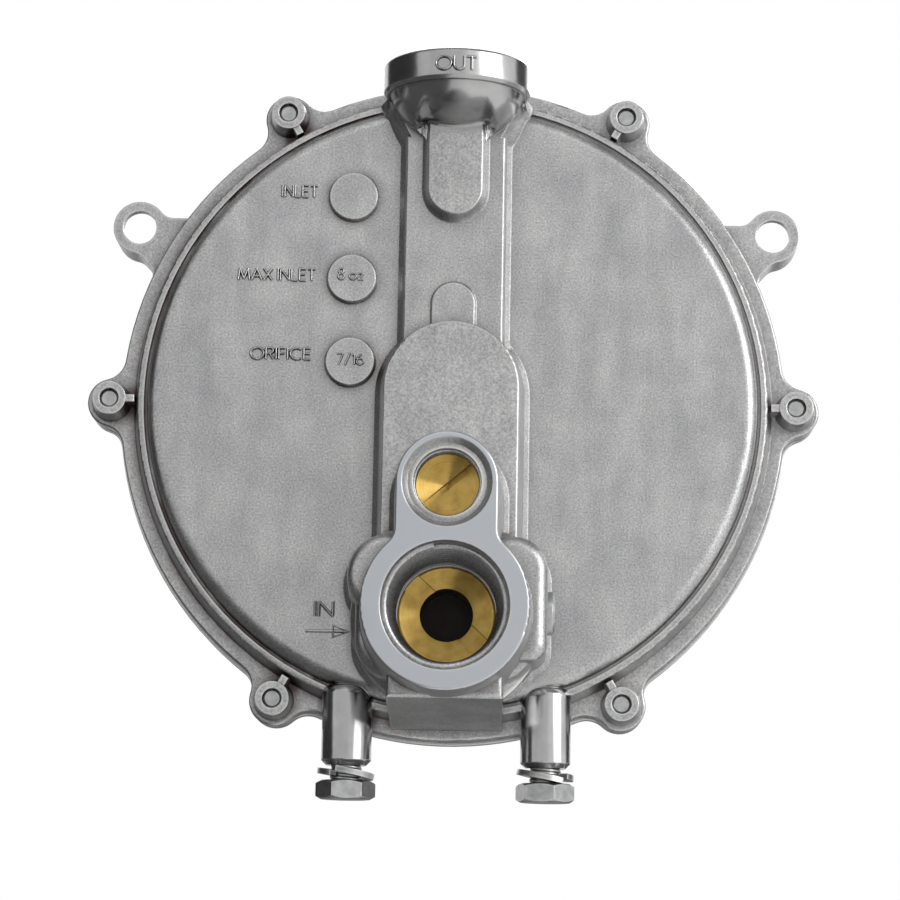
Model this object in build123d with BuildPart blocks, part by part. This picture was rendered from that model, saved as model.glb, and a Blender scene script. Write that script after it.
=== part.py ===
from build123d import *
import math
import os

# Low pressure gas regulator for an engine: a die cast diaphragm housing with an inlet at the front,
# an outlet at the top, a lever valve inside and a primer button at the back. Millimetres.
# The origin lies midway between the two ear holes, on the back face of the ears.
# +Z is up, towards the outlet, and the front with the inlet faces -Y.

# Flange stack and screw circle
ear_rise = 40.0
disc_z = -ear_rise
flange_r = 73.0
lobe_r = 5.4
lobe_blend = 5.0
screw_reach = 2.0
screw_circle_r = flange_r + screw_reach
screw_count = 6
front_flange_y = -11.0
front_flange_t = 5.0
membrane_t = 0.8
cover_flange_t = 4.2
cover_margin = 0.7
part_y = front_flange_y + front_flange_t
cover_y = part_y + membrane_t
cover_back_y = cover_y + cover_flange_t
flange_round = 0.5
root = 1.0

# Screw bosses and ribs on the front flange
boss_h = 6.0
boss_r = 4.3
boss_draft = 6.0
boss_bore_r = 2.1
boss_rib_w = 2.2
boss_rib_inset = 1.0
boss_rib_drop = 0.3
boss_rib_draft = 3.0
boss_y = front_flange_y - boss_h

# Raised rim ring and dome of the front housing
ring_in_r = 67.3
ring_top_w = 1.4
ring_batter = 1.3
ring_round = 0.5
rim_groove_w = 0.7
rim_groove_d = 1.0
dome_rise = 3.0
dome_shoulder = 3.0
dome_draft = 0.3
dome_wall = 3.0
cavity_r = 62.5
cavity_draft = 1.0
cavity_round = 3.0
ring_top_r = ring_in_r + ring_top_w
ring_foot_r = ring_top_r + ring_batter
dome_y = boss_y - dome_rise
cavity_y = dome_y + dome_wall

# Mounting ears, each with a neck, a thin front plate and a hollow behind it that is open above
ear_inset = 2.5
ear_x = flange_r - ear_inset
ear_r = 5.9
ear_hole_r = 3.7
ear_t = 9.5
ear_plate_t = 2.2
ear_wall = 1.2
ear_neck_up = 2.3
ear_neck_down = 12.0
ear_neck_out = 1.0
ear_neck_in = 5.5
ear_neck_root = 14.0
ear_blend = 3.5

# Outlet collar, its round bowl and the neck behind the bowl
outlet_y = -26.0
outlet_top = 73.0
collar_r = 16.0
collar_h = 6.8
collar_round = 0.9
collar_lip = 0.7
bowl_r = 15.5
bowl_rise = 5.3
bowl_blend = 2.0
outlet_bore_r = 12.3
outlet_mouth_r = 13.3
outlet_thread = 8.5
outlet_throat_r = 8.5
outlet_depth = 11.5
passage_w = 8.0
passage_top = 64.3
neck_low = 56.5
neck_low_w = 9.0
neck_mid = 61.0
neck_mid_w = 11.4
neck_top_w = 13.6
neck_draft = 35.0
collar_low = outlet_top - collar_h
bowl_z = collar_low + bowl_rise

# Channel, nose and tongue in front of the dome
channel_w = 10.7
channel_rise = 4.0
channel_draft = 9.0
channel_top = 58.0
nose_w = 5.9
nose_rise = 3.0
nose_low = 39.9
nose_draft = 18.0
nose_flare = 0.7
tongue_w = 4.6
tongue_top = 25.1
tongue_rise = 0.8
tongue_draft = 20.0
tongue_round = 0.3
tongue_flare = 0.2
form_round = 0.5
foot_flare = 1.1
flare_angle = 45.0

# Arch over the lever, and the inlet block behind the ports
arch_w = 14.5
arch_top = 15.4
arch_low = -46.0
arch_rise = 11.0
arch_draft = 7.0
arch_wall = 2.6
bay_corner = 10.9
block_w = 12.0
block_rise = 27.0
block_low = -66.7
block_slope = 4.3
block_round = 1.2
base_w = 19.0
base_high = -31.0
base_low = -62.5
base_corner = 9.0
base_rise = 19.0
base_round = 2.5
base_draft = 2.0
bulge_r = 8.6
bulge_x = -12.2
bulge_z = -40.9
bulge_rise = 22.0

# Port face with the inlet and the adjusting bore
port_rise = 38.0
port_draft = 2.6
inlet_z = -48.9
inlet_face_r = 17.25
inlet_bore_r = 12.1
inlet_mouth_r = 13.2
inlet_thread = 15.35
inlet_floor_r = 10.9
adjust_z = -23.7
adjust_face_r = 10.45
adjust_mouth_r = 9.3
adjust_mouth_d = 2.6
port_blend = 4.0
port_y = dome_y - port_rise

# Side port on the right of the inlet block
side_x = 21.0
side_high = -32.7
side_low = -58.5
side_rise = 24.0
side_corner = 7.0
side_low_corner = 3.5
side_port_z = -47.9
side_port_y = -35.5
side_port_r = 4.6
side_port_depth = 8.5

# Bracket bosses with their bolts below the flange
bracket_x = 21.3
bracket_y = -15.5
bracket_r = 5.4
bracket_top = -61.8
bracket_low = -79.0
bracket_chamfer = 1.1
bracket_round = 2.0
bracket_bore_r = 3.2
bracket_bore_depth = 12.0

# Raised round pads on the dome
pad_x = -22.3
pad_z = (44.9, 26.5, 8.0)
pad_r = 5.45
pad_rise = 0.7
pad_draft = 20.0

# Rear cover, a cast pan with a centre hub
cover_cavity_r = 62.5
cover_draft = 2.5
cover_depth = 10.2
cover_wall = 3.0
cover_rim_r = 67.6
cover_round = 3.0
cover_step_r = 50.0
cover_step_h = 1.2
cover_step_draft = 30.0
hub_r = 11.5
hub_draft = 4.0
guide_in = 3.5
vent_r = 2.4
vent_boss_r = 5.0
vent_boss_h = 2.0
vent_z = -42.0
cover_floor_y = cover_y + cover_depth
cover_out_y = cover_floor_y + cover_wall
hub_h = 8.0
hub_y = cover_out_y + hub_h

# Primer button, its spring and retaining ring
run_gap = 0.05
edge_break = 0.3
primer_sink = 2.0
primer_r = 7.1
primer_cap_t = 7.0
primer_stem_r = 2.5
primer_gap = 0.2
primer_dome = 1.6
primer_ring_t = 0.7
primer_ring_r = 4.6
primer_groove_d = 0.5
primer_wire_r = 0.4
primer_coils = 3.0
primer_spring_r = 5.2
pocket_depth = 0.5
pocket_floor_y = cover_floor_y + pocket_depth
guide_in_y = cover_floor_y - guide_in
primer_in_y = hub_y - primer_sink
primer_out_y = primer_in_y + primer_cap_t
ring_back_y = guide_in_y - run_gap
ring_front_y = ring_back_y - primer_ring_t
groove_r = primer_stem_r - primer_groove_d

# Diaphragm with its plates and post
convolution_inset = 8.5
convolution_w = 4.5
convolution_h = 3.0
plate_margin = 5.5
plate_t = 1.0
post_r = 2.5
post_tip_bevel = 1.2
post_head_r = 5.0
post_head_t = 1.2
post_collar_r = 4.0
post_collar_t = 1.2
post_len = 11.0
convolution_r = cavity_r - convolution_inset
plate_r = convolution_r - convolution_w - plate_margin
plate_bore_r = post_r + run_gap / 2
post_tip_y = part_y - post_len

# Valve lever on its fulcrum pin
bay_y = dome_y - arch_rise + dome_wall
fulcrum_z = -36.5
fulcrum_offset = 0.5
pin_r = 1.5
pin_len = 23.0
lever_w = 9.0
lever_t = 1.6
lever_gap = 0.3
lever_tip_z = 4.0
lever_hub_r = 3.2
lever_low_z = -55.0
lever_bend_low = -15.0
lever_bend_high = -8.0
lever_clear = 3.5
lever_y = bay_y + lever_clear
fulcrum_y = lever_y + fulcrum_offset
valve_r = 7.6
valve_t = 2.45

# Fulcrum posts and screws
bay_low = -58.0
post_in_x = 6.3
post_low = -43.4
post_high = -33.5
fulcrum_screw_r = 1.4
fulcrum_head_r = 2.6
fulcrum_head_t = 1.6
fulcrum_screw_x = 9.3
fulcrum_screw_dz = 3.6
fulcrum_screw_len = 4.5

# Orifice seat and its seal ring
seat_r = 10.25
seat_bore_r = 5.55
seat_wall = 2.5
seat_nose_r = 7.0
seat_edge = 0.4
seat_land = 0.5
seat_slot_w = 4.3
seat_slot_d = 1.2
seat_slot_angle = -42.0
seat_head_t = 5.9
seal_r = 9.9
seal_t = 1.6
seat_nose_y = lever_y - valve_t - run_gap
seat_shoulder_y = bay_y - seat_wall
seat_y = seat_shoulder_y - seal_t - seat_head_t

# Adjusting screw and balance spring
adjust_r = 6.95
adjust_sink = 7.0
adjust_len = 9.0
adjust_slot_w = 1.3
adjust_slot_d = 2.0
adjust_slot_angle = 40.0
adjust_socket_r = 5.6
adjust_socket_d = 3.0
balance_wire_r = 0.5
balance_r = 4.4
balance_coils = 5.0
adjust_y = port_y + adjust_sink

# Cover screws, bracket bolts and split washers
screw_r = 2.05
screw_head_r = 4.0
screw_head_t = 2.6
screw_head_bevel = 1.1
screw_tip_r = 1.6
screw_recess = 1.0
screw_slot_w = 1.2
screw_slot_d = 1.3
screw_clear_r = 2.3
bolt_r = 3.15
bolt_af = 11.1
bolt_head_t = 4.0
bolt_face_r = 5.3
bolt_bevel = 60.0
bolt_gap = 3.2
bolt_grip = 9.0
bolt_tip = 0.6
left_bolt_turn = 5.0
right_bolt_turn = 47.0
washer_in_r = 3.6
washer_out_r = 6.1
washer_t = 1.2
washer_rise = 1.1
washer_split = 10.0
washer_tilt = 9.0
left_washer_turn = 240.0
right_washer_turn = 310.0
plug_proud = 1.6
plug_len = 8.0
plug_bevel = 0.5
plug_socket = 4.8
plug_socket_d = 3.5

# Places worked out from the sizes above
bracket_face_z = disc_z + bracket_low
primer_stem_y = cover_y + plate_t + post_head_t + primer_gap
turn_plane = Plane(origin=(0, 0, disc_z), x_dir=(1, 0, 0), z_dir=(0, 0, 1))
disc_axis = Axis((0, 0, disc_z), (0, 1, 0))
outlet_plane = Plane(origin=(0, outlet_y, disc_z), x_dir=(1, 0, 0), z_dir=(0, -1, 0))
outlet_axis = Axis((0, outlet_y, disc_z), (0, 0, 1))


def front_plane(y):
    """A plane that faces the front, with its origin on the disc's axis."""
    return Plane(origin=(0, y, disc_z), x_dir=(1, 0, 0), z_dir=(0, -1, 0))


def side_plane(x):
    """A plane that faces the right side, with Y and Z as its own axes."""
    return Plane(origin=(x, 0, disc_z), x_dir=(0, 1, 0), z_dir=(1, 0, 0))


def nearest(shapes, x, y):
    """The one of some sketch vertices that lies nearest to a point."""
    return shapes.sort_by_distance((x, y, 0))[0]


def flange_outline(radius):
    """A round flange with six screw lobes that blend into it."""
    with BuildSketch() as outline:
        Circle(radius)
        with PolarLocations(screw_circle_r, screw_count):
            Circle(lobe_r)
        waists = outline.vertices().filter_by(lambda v: abs(Vector(v).length - radius) < 0.01)
        fillet(waists, lobe_blend)
    return outline.sketch


def ear_outline():
    """Both ears with their necks, blended into the flange."""
    neck_up = ear_rise + ear_neck_up
    neck_down = ear_rise - ear_neck_down
    with BuildSketch() as outline:
        Circle(flange_r)
        for side in (-1, 1):
            with BuildLine():
                Polyline(
                    (side * (ear_x - ear_neck_root), neck_up),
                    (side * ear_x, neck_up),
                    (side * (ear_x + ear_neck_out), ear_rise - ear_r + ear_neck_out),
                    (side * (ear_x - ear_neck_in), neck_down),
                    (side * (ear_x - ear_neck_root), neck_down),
                    close=True,
                )
            make_face()
        with Locations((-ear_x, ear_rise), (ear_x, ear_rise)):
            Circle(ear_r)
        for side in (-1, 1):
            fillet(nearest(outline.vertices(), side * (ear_x - ear_r), neck_up), ear_blend)
            fillet(nearest(outline.vertices(), side * ear_x, ear_rise - ear_r), ear_blend)
            fillet(nearest(outline.vertices(), side * (ear_x - ear_neck_in), neck_down), ear_blend)
    return outline.sketch


def ear_hollows():
    """The hollows behind both ear plates, open above."""
    hollow_r = ear_r - ear_wall
    with BuildSketch() as outline:
        with Locations((-ear_x, ear_rise), (ear_x, ear_rise)):
            Circle(hollow_r)
        with Locations((-ear_x, ear_rise + ear_r), (ear_x, ear_rise + ear_r)):
            Rectangle(2 * hollow_r, 2 * ear_r)
    return outline.sketch


def arch_outline():
    """Round-topped pad over the lever."""
    centre = arch_top - arch_w
    with BuildSketch() as outline:
        with Locations((0, centre)):
            Circle(arch_w)
        with Locations((0, (centre + arch_low) / 2)):
            Rectangle(2 * arch_w, centre - arch_low)
    return outline.sketch


def neck_outline():
    """Front face of the neck, which widens from the channel to the collar."""
    with BuildSketch() as outline:
        with BuildLine():
            Line((-neck_low_w, neck_low), (neck_low_w, neck_low))
            ThreePointArc((neck_low_w, neck_low), (neck_mid_w, neck_mid), (neck_top_w, collar_low + root))
            Line((neck_top_w, collar_low + root), (-neck_top_w, collar_low + root))
            ThreePointArc((-neck_top_w, collar_low + root), (-neck_mid_w, neck_mid), (-neck_low_w, neck_low))
        make_face()
    return outline.sketch


def keyhole_outline():
    """Face round the adjusting bore and the inlet bore."""
    with BuildSketch() as outline:
        with Locations((0, adjust_z)):
            Circle(adjust_face_r)
        with Locations((0, (adjust_z + inlet_z) / 2)):
            Rectangle(2 * adjust_face_r, adjust_z - inlet_z)
        with Locations((0, inlet_z)):
            Circle(inlet_face_r)
        meet = inlet_z + math.sqrt(inlet_face_r**2 - adjust_face_r**2)
        for side in (-1, 1):
            fillet(nearest(outline.vertices(), side * adjust_face_r, meet), port_blend)
    return outline.sketch


def tongue_outline(half, low, high, round_up=False):
    """A tongue with one round end, below unless round_up, and one square end."""
    centre = high - half if round_up else low + half
    square = low if round_up else high
    with BuildSketch() as outline:
        with Locations((0, centre)):
            Circle(half)
        with Locations((0, (centre + square) / 2)):
            Rectangle(2 * half, abs(square - centre))
    return outline.sketch


def raised_form(outline, rise, depth, draft, edge, flare):
    """A drafted form that stands in front of the dome, with a rounded face edge and a flared foot."""
    with BuildPart() as form:
        with BuildSketch(front_plane(dome_y - rise)):
            add(outline)
        extrude(amount=flare - depth, taper=-draft)
        fillet(form.edges().group_by(Axis.Y)[0], edge)
        extrude(form.faces().sort_by(Axis.Y)[-1], amount=flare + root, taper=-flare_angle)
    return form.part


def drum(radius, front, back, z=0.0, x=0.0):
    """A round plug along Y between two depths."""
    with BuildSketch(front_plane(back)) as disc:
        with Locations((x, z)):
            Circle(radius)
    return extrude(disc.sketch, amount=back - front, mode=Mode.PRIVATE)


def coil(radius, wire, start, end, turns, z):
    """A compression spring along Y with its ends at two depths."""
    rail = Helix(
        pitch=(end - start - 2 * wire) / turns,
        height=end - start - 2 * wire,
        radius=radius,
        center=(0, start + wire, disc_z + z),
        direction=(0, 1, 0),
    )
    with BuildPart() as spring:
        with BuildSketch(Plane(origin=rail @ 0, z_dir=rail % 0)):
            RegularPolygon(wire, 6)
        sweep(path=rail, is_frenet=True)
    return spring


def hex_bolt(x, turn):
    """A bracket bolt that points up, with a chamfered hexagon head."""
    head_low = bracket_face_z - bolt_gap - bolt_head_t
    with BuildPart() as bolt:
        with BuildSketch(Plane.XY.offset(head_low)):
            with Locations((x, bracket_y)):
                RegularPolygon(bolt_af / 2, 6, major_radius=False, rotation=turn)
        extrude(amount=bolt_head_t)
        for plane in (Plane.XY.offset(head_low), -Plane.XY.offset(head_low + bolt_head_t)):
            with BuildSketch(plane):
                with Locations((x, bracket_y * plane.z_dir.Z)):
                    Circle(bolt_face_r)
            extrude(amount=bolt_head_t, taper=-bolt_bevel, mode=Mode.INTERSECT)
        with BuildSketch(Plane.XY.offset(head_low + bolt_head_t)):
            with Locations((x, bracket_y)):
                Circle(bolt_r)
        extrude(amount=bolt_gap + bolt_grip)
        chamfer(bolt.edges().group_by(Axis.Z)[-1], bolt_tip)
    return bolt


def split_washer(x, start):
    """A spring washer, split and sprung open, that hangs askew in the gap over the bolt's head."""
    middle = (x, bracket_y, bracket_face_z - bolt_gap / 2)
    rail = Helix(
        pitch=washer_rise * 360 / (360 - washer_split),
        height=washer_rise,
        radius=(washer_in_r + washer_out_r) / 2,
        center=(x, bracket_y, middle[2] - washer_rise / 2),
        direction=(0, 0, 1),
        lefthand=True,
    )
    rail = rail.rotate(Axis(middle, (0, 0, 1)), start).rotate(Axis(middle, (0, 1, 0)), washer_tilt)
    with BuildPart() as washer:
        with BuildSketch(Plane(origin=rail @ 0, x_dir=(0, 0, 1), z_dir=rail % 0)):
            Rectangle(washer_t, washer_out_r - washer_in_r)
        sweep(path=rail, is_frenet=True)
    return washer


# Forms that stand in front of the dome: channel, nose, tongue, arch, base, bulge, side boss and ports
with BuildSketch() as channel_shape:
    with Locations((0, (channel_top + arch_low) / 2)):
        Rectangle(2 * channel_w, channel_top - arch_low)
with BuildSketch() as base_shape:
    with Locations((0, (base_high + base_low) / 2)):
        RectangleRounded(2 * base_w, base_high - base_low, base_corner)
with BuildSketch() as bulge_shape:
    with Locations((bulge_x, bulge_z)):
        Circle(bulge_r)
with BuildSketch() as side_shape:
    with Locations((side_x / 2, (side_high + side_low) / 2)):
        Rectangle(side_x, side_high - side_low)
    fillet(nearest(side_shape.vertices(), side_x, side_high), side_corner)
    fillet(nearest(side_shape.vertices(), side_x, side_low), side_low_corner)
nose_shape = tongue_outline(nose_w, nose_low, channel_top + root)
tongue_shape = tongue_outline(tongue_w, 0.0, tongue_top, round_up=True)
port_depth = port_rise - arch_rise
nose_top = channel_rise + nose_rise
tongue_face = channel_rise + tongue_rise
raised_forms = [
    raised_form(channel_shape.sketch, channel_rise, channel_rise, channel_draft, form_round, foot_flare),
    raised_form(nose_shape, nose_top, nose_rise, nose_draft, form_round, nose_flare),
    raised_form(tongue_shape, tongue_face, tongue_rise, tongue_draft, tongue_round, tongue_flare),
    raised_form(arch_outline(), arch_rise, arch_rise, arch_draft, form_round, foot_flare),
    raised_form(base_shape.sketch, base_rise, base_rise, base_draft, base_round, foot_flare),
    raised_form(bulge_shape.sketch, bulge_rise, bulge_rise, base_draft, base_round, foot_flare),
    raised_form(side_shape.sketch, side_rise, side_rise, 0.0, base_round, foot_flare),
    raised_form(keyhole_outline(), port_rise, port_depth, port_draft, form_round, foot_flare),
]

# Neck behind the bowl, flush with the channel's face
with BuildPart() as neck:
    with BuildSketch(front_plane(dome_y - channel_rise)):
        add(neck_outline())
    extrude(amount=-channel_rise - root, taper=-neck_draft)

# Sloped block below the inlet
with BuildPart() as inlet_block:
    with BuildSketch(side_plane(-block_w)):
        with BuildLine():
            Polyline(
                (dome_y - block_rise, block_low),
                (front_flange_y + root, block_low - block_slope),
                (front_flange_y + root, inlet_z),
                (dome_y - block_rise, inlet_z),
                close=True,
            )
        make_face()
    extrude(amount=2 * block_w)
    fillet(inlet_block.edges().group_by(Axis.Y)[0], block_round)

with BuildPart() as bracket_bosses:
    with BuildSketch(Plane.XY.offset(bracket_face_z)):
        with Locations((-bracket_x, bracket_y), (bracket_x, bracket_y)):
            Circle(bracket_r)
    extrude(amount=bracket_top - bracket_low)
    fillet(bracket_bosses.edges().group_by(Axis.Z)[-1], bracket_round)
    chamfer(bracket_bosses.edges().group_by(Axis.Z)[0], bracket_chamfer)

# Front housing
with BuildPart() as front_body:
    # Flange slab with its lobes, then the raised rim and the dome
    with BuildSketch(front_plane(part_y)):
        add(flange_outline(flange_r))
    extrude(amount=front_flange_t)
    fillet(front_body.edges().group_by(Axis.Y)[0], flange_round)
    dome_r = ring_in_r - rim_groove_w
    with BuildSketch(turn_plane) as dome_section:
        with BuildLine():
            Polyline(
                (0, dome_y),
                (dome_r - dome_draft, dome_y),
                (dome_r, boss_y + rim_groove_d),
                (ring_in_r, boss_y + rim_groove_d),
                (ring_in_r, boss_y),
                (ring_top_r, boss_y),
                (ring_foot_r, front_flange_y),
                (ring_foot_r, front_flange_y + root),
                (0, front_flange_y + root),
                close=True,
            )
        make_face()
        fillet(nearest(dome_section.vertices(), dome_r - dome_draft, dome_y), dome_shoulder)
        fillet(nearest(dome_section.vertices(), ring_top_r, boss_y), ring_round)
    revolve(axis=disc_axis)

    # Screw bosses, each tied to the rim by a rib
    with BuildSketch(front_plane(front_flange_y)):
        with PolarLocations(screw_circle_r, screw_count):
            Circle(boss_r)
    extrude(amount=boss_h, taper=boss_draft)
    with BuildSketch(front_plane(front_flange_y)):
        with PolarLocations((ring_top_r + screw_circle_r) / 2, screw_count):
            Rectangle(screw_circle_r - ring_top_r - boss_rib_inset, boss_rib_w)
    extrude(amount=boss_h - boss_rib_drop, taper=boss_rib_draft)

    # Ears, cut clear of the rear cover behind the parting face
    with BuildSketch(front_plane(part_y)):
        add(ear_outline())
    extrude(amount=ear_t + part_y)
    with BuildSketch(front_plane(0)):
        add(ear_outline())
        Circle(flange_r + 2 * cover_margin, mode=Mode.SUBTRACT)
    extrude(amount=-part_y)

    # Neck, raised forms, sloped block and bracket bosses
    add(neck)
    add(raised_forms)
    add(inlet_block)
    add(bracket_bosses)

    # Outlet collar with its bowl, which runs into the nose in a blend
    bowl_half = math.acos(bowl_rise / bowl_r)
    with BuildSketch(outlet_plane) as collar_section:
        with BuildLine():
            Polyline(
                (bowl_r * math.sin(bowl_half), collar_low),
                (collar_r - collar_lip, collar_low),
                (collar_r, collar_low + collar_lip),
                (collar_r, outlet_top),
                (0, outlet_top),
                (0, bowl_z - bowl_r),
            )
            CenterArc((0, bowl_z), bowl_r, start_angle=270, arc_size=math.degrees(bowl_half))
        make_face()
        fillet(nearest(collar_section.vertices(), collar_r, outlet_top), collar_round)
    revolve(axis=outlet_axis)
    bowl_foot = (0, dome_y - nose_top, disc_z + bowl_z - bowl_r)
    fillet(front_body.edges().sort_by_distance(bowl_foot)[0], bowl_blend)

    # Three round pads
    with BuildSketch(front_plane(dome_y)):
        with Locations(*[(pad_x, z) for z in pad_z]):
            Circle(pad_r)
    extrude(amount=pad_rise, taper=pad_draft)

    # Hollow behind the dome, the lever bay and the passage up to the outlet
    with BuildSketch(turn_plane) as hollow_section:
        with BuildLine():
            Polyline(
                (0, cavity_y),
                (cavity_r - cavity_draft, cavity_y),
                (cavity_r, part_y),
                (0, part_y),
                close=True,
            )
        make_face()
        fillet(nearest(hollow_section.vertices(), cavity_r - cavity_draft, cavity_y), cavity_round)
    revolve(axis=disc_axis, mode=Mode.SUBTRACT)
    bay_half = arch_w - arch_wall
    with BuildSketch(front_plane(cavity_y + root)):
        with Locations((0, (arch_top - arch_wall + bay_low) / 2)):
            RectangleRounded(2 * bay_half, arch_top - arch_wall - bay_low, bay_corner)
    extrude(amount=cavity_y + root - bay_y, mode=Mode.SUBTRACT)
    with BuildSketch(front_plane(cavity_y + root)):
        with Locations((0, passage_top / 2)):
            Rectangle(2 * passage_w, passage_top)
    extrude(amount=channel_rise + root, mode=Mode.SUBTRACT)
    with BuildSketch(outlet_plane):
        with BuildLine():
            Polyline(
                (0, outlet_top),
                (outlet_mouth_r, outlet_top),
                (outlet_bore_r, outlet_top - outlet_mouth_r + outlet_bore_r),
                (outlet_bore_r, outlet_top - outlet_thread),
                (outlet_throat_r, outlet_top - outlet_depth),
                (0, outlet_top - outlet_depth),
                close=True,
            )
        make_face()
    revolve(axis=outlet_axis, mode=Mode.SUBTRACT)

    # Inlet bore with its seat shoulder, and the adjusting bore
    inlet_plane = Plane(origin=(0, 0, disc_z + inlet_z), x_dir=(1, 0, 0), z_dir=(0, 0, 1))
    with BuildSketch(inlet_plane):
        with BuildLine():
            Polyline(
                (0, port_y),
                (inlet_mouth_r, port_y),
                (inlet_bore_r, port_y + inlet_mouth_r - inlet_bore_r),
                (inlet_bore_r, port_y + inlet_thread),
                (inlet_floor_r, seat_y),
                (seat_r + run_gap, seat_y),
                (seat_r + run_gap, seat_shoulder_y),
                (seat_nose_r + run_gap, seat_shoulder_y),
                (seat_nose_r + run_gap, bay_y),
                (0, bay_y),
                close=True,
            )
        make_face()
    revolve(axis=Axis(inlet_plane.origin, (0, 1, 0)), mode=Mode.SUBTRACT)
    adjust_plane = Plane(origin=(0, 0, disc_z + adjust_z), x_dir=(1, 0, 0), z_dir=(0, 0, 1))
    with BuildSketch(adjust_plane):
        with BuildLine():
            Polyline(
                (0, port_y),
                (adjust_mouth_r, port_y),
                (adjust_r + run_gap, port_y + adjust_mouth_d),
                (adjust_r + run_gap, bay_y),
                (0, bay_y),
                close=True,
            )
        make_face()
    revolve(axis=Axis(adjust_plane.origin, (0, 1, 0)), mode=Mode.SUBTRACT)

    # Fulcrum posts at the sides of the lever bay, grooved for the pin
    for side in (-1, 1):
        with BuildSketch(front_plane(fulcrum_y + pin_r)):
            with Locations((side * (post_in_x + bay_half + root) / 2, (post_low + post_high) / 2)):
                Rectangle(bay_half + root - post_in_x, post_high - post_low)
        extrude(amount=fulcrum_y + pin_r - bay_y + root)
        with BuildSketch(front_plane(fulcrum_y + pin_r)):
            with Locations((side * fulcrum_screw_x, fulcrum_z - fulcrum_screw_dz)):
                Circle(fulcrum_screw_r + run_gap)
        extrude(amount=fulcrum_screw_len + edge_break, mode=Mode.SUBTRACT)
    with BuildSketch(side_plane(-pin_len / 2 - run_gap)):
        with Locations((fulcrum_y, fulcrum_z)):
            Circle(pin_r + run_gap)
        with Locations((fulcrum_y + pin_r, fulcrum_z)):
            Rectangle(2 * pin_r, 2 * (pin_r + run_gap))
    extrude(amount=pin_len + 2 * run_gap, mode=Mode.SUBTRACT)

    # Screw, ear, bracket and side port holes
    with BuildSketch(front_plane(part_y)):
        with PolarLocations(screw_circle_r, screw_count):
            Circle(boss_bore_r)
    extrude(amount=part_y - boss_y, mode=Mode.SUBTRACT)
    with BuildSketch(front_plane(0)):
        with Locations((-ear_x, ear_rise), (ear_x, ear_rise)):
            Circle(ear_hole_r)
    extrude(amount=ear_t, mode=Mode.SUBTRACT)
    with BuildSketch(front_plane(0)):
        add(ear_hollows())
    extrude(amount=ear_t - ear_plate_t, mode=Mode.SUBTRACT)
    with BuildSketch(Plane.XY.offset(bracket_face_z)):
        with Locations((-bracket_x, bracket_y), (bracket_x, bracket_y)):
            Circle(bracket_bore_r)
    extrude(amount=bracket_bore_depth, mode=Mode.SUBTRACT)
    with BuildSketch(side_plane(side_x)):
        with Locations((side_port_y, side_port_z)):
            Circle(side_port_r)
    extrude(amount=-side_port_depth, mode=Mode.SUBTRACT)

# Rear cover
with BuildPart() as rear_cover:
    with BuildSketch(front_plane(cover_back_y)):
        add(flange_outline(flange_r + cover_margin))
    extrude(amount=cover_flange_t)
    fillet(rear_cover.edges().group_by(Axis.Y)[-1], flange_round)
    with BuildSketch(turn_plane) as pan_section:
        with BuildLine():
            Polyline(
                (0, cover_out_y),
                (cover_rim_r - cover_draft - cover_wall, cover_out_y),
                (cover_rim_r, cover_back_y),
                (cover_rim_r, cover_back_y - root),
                (0, cover_back_y - root),
                close=True,
            )
        make_face()
        corner = nearest(pan_section.vertices(), cover_rim_r - cover_draft - cover_wall, cover_out_y)
        fillet(corner, cover_round)
    revolve(axis=disc_axis)
    with BuildSketch(front_plane(cover_out_y)):
        Circle(cover_step_r)
    extrude(amount=-cover_step_h, taper=cover_step_draft)
    with BuildSketch(front_plane(cover_out_y)):
        Circle(hub_r)
    extrude(amount=-hub_h, taper=hub_draft)
    fillet(rear_cover.edges().group_by(Axis.Y)[-1], flange_round)
    with BuildSketch(front_plane(cover_out_y)):
        with Locations((0, vent_z)):
            Circle(vent_boss_r)
    extrude(amount=-cover_step_h - vent_boss_h, taper=hub_draft)
    with BuildSketch(turn_plane) as pan_hollow:
        with BuildLine():
            Polyline(
                (0, cover_y),
                (cover_cavity_r, cover_y),
                (cover_cavity_r - cover_draft, cover_floor_y),
                (0, cover_floor_y),
                close=True,
            )
        make_face()
        fillet(nearest(pan_hollow.vertices(), cover_cavity_r - cover_draft, cover_floor_y), cover_round)
    revolve(axis=disc_axis, mode=Mode.SUBTRACT)
    add(drum(hub_r - cover_wall, cover_floor_y - guide_in, pocket_floor_y))
    add(drum(primer_r + run_gap, pocket_floor_y, hub_y), mode=Mode.SUBTRACT)
    add(drum(primer_stem_r + run_gap, guide_in_y, pocket_floor_y), mode=Mode.SUBTRACT)
    add(drum(vent_r, cover_y, hub_y, vent_z), mode=Mode.SUBTRACT)
    with BuildSketch(front_plane(cover_back_y)):
        with PolarLocations(screw_circle_r, screw_count):
            Circle(screw_clear_r)
    extrude(amount=cover_flange_t, mode=Mode.SUBTRACT)

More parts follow.
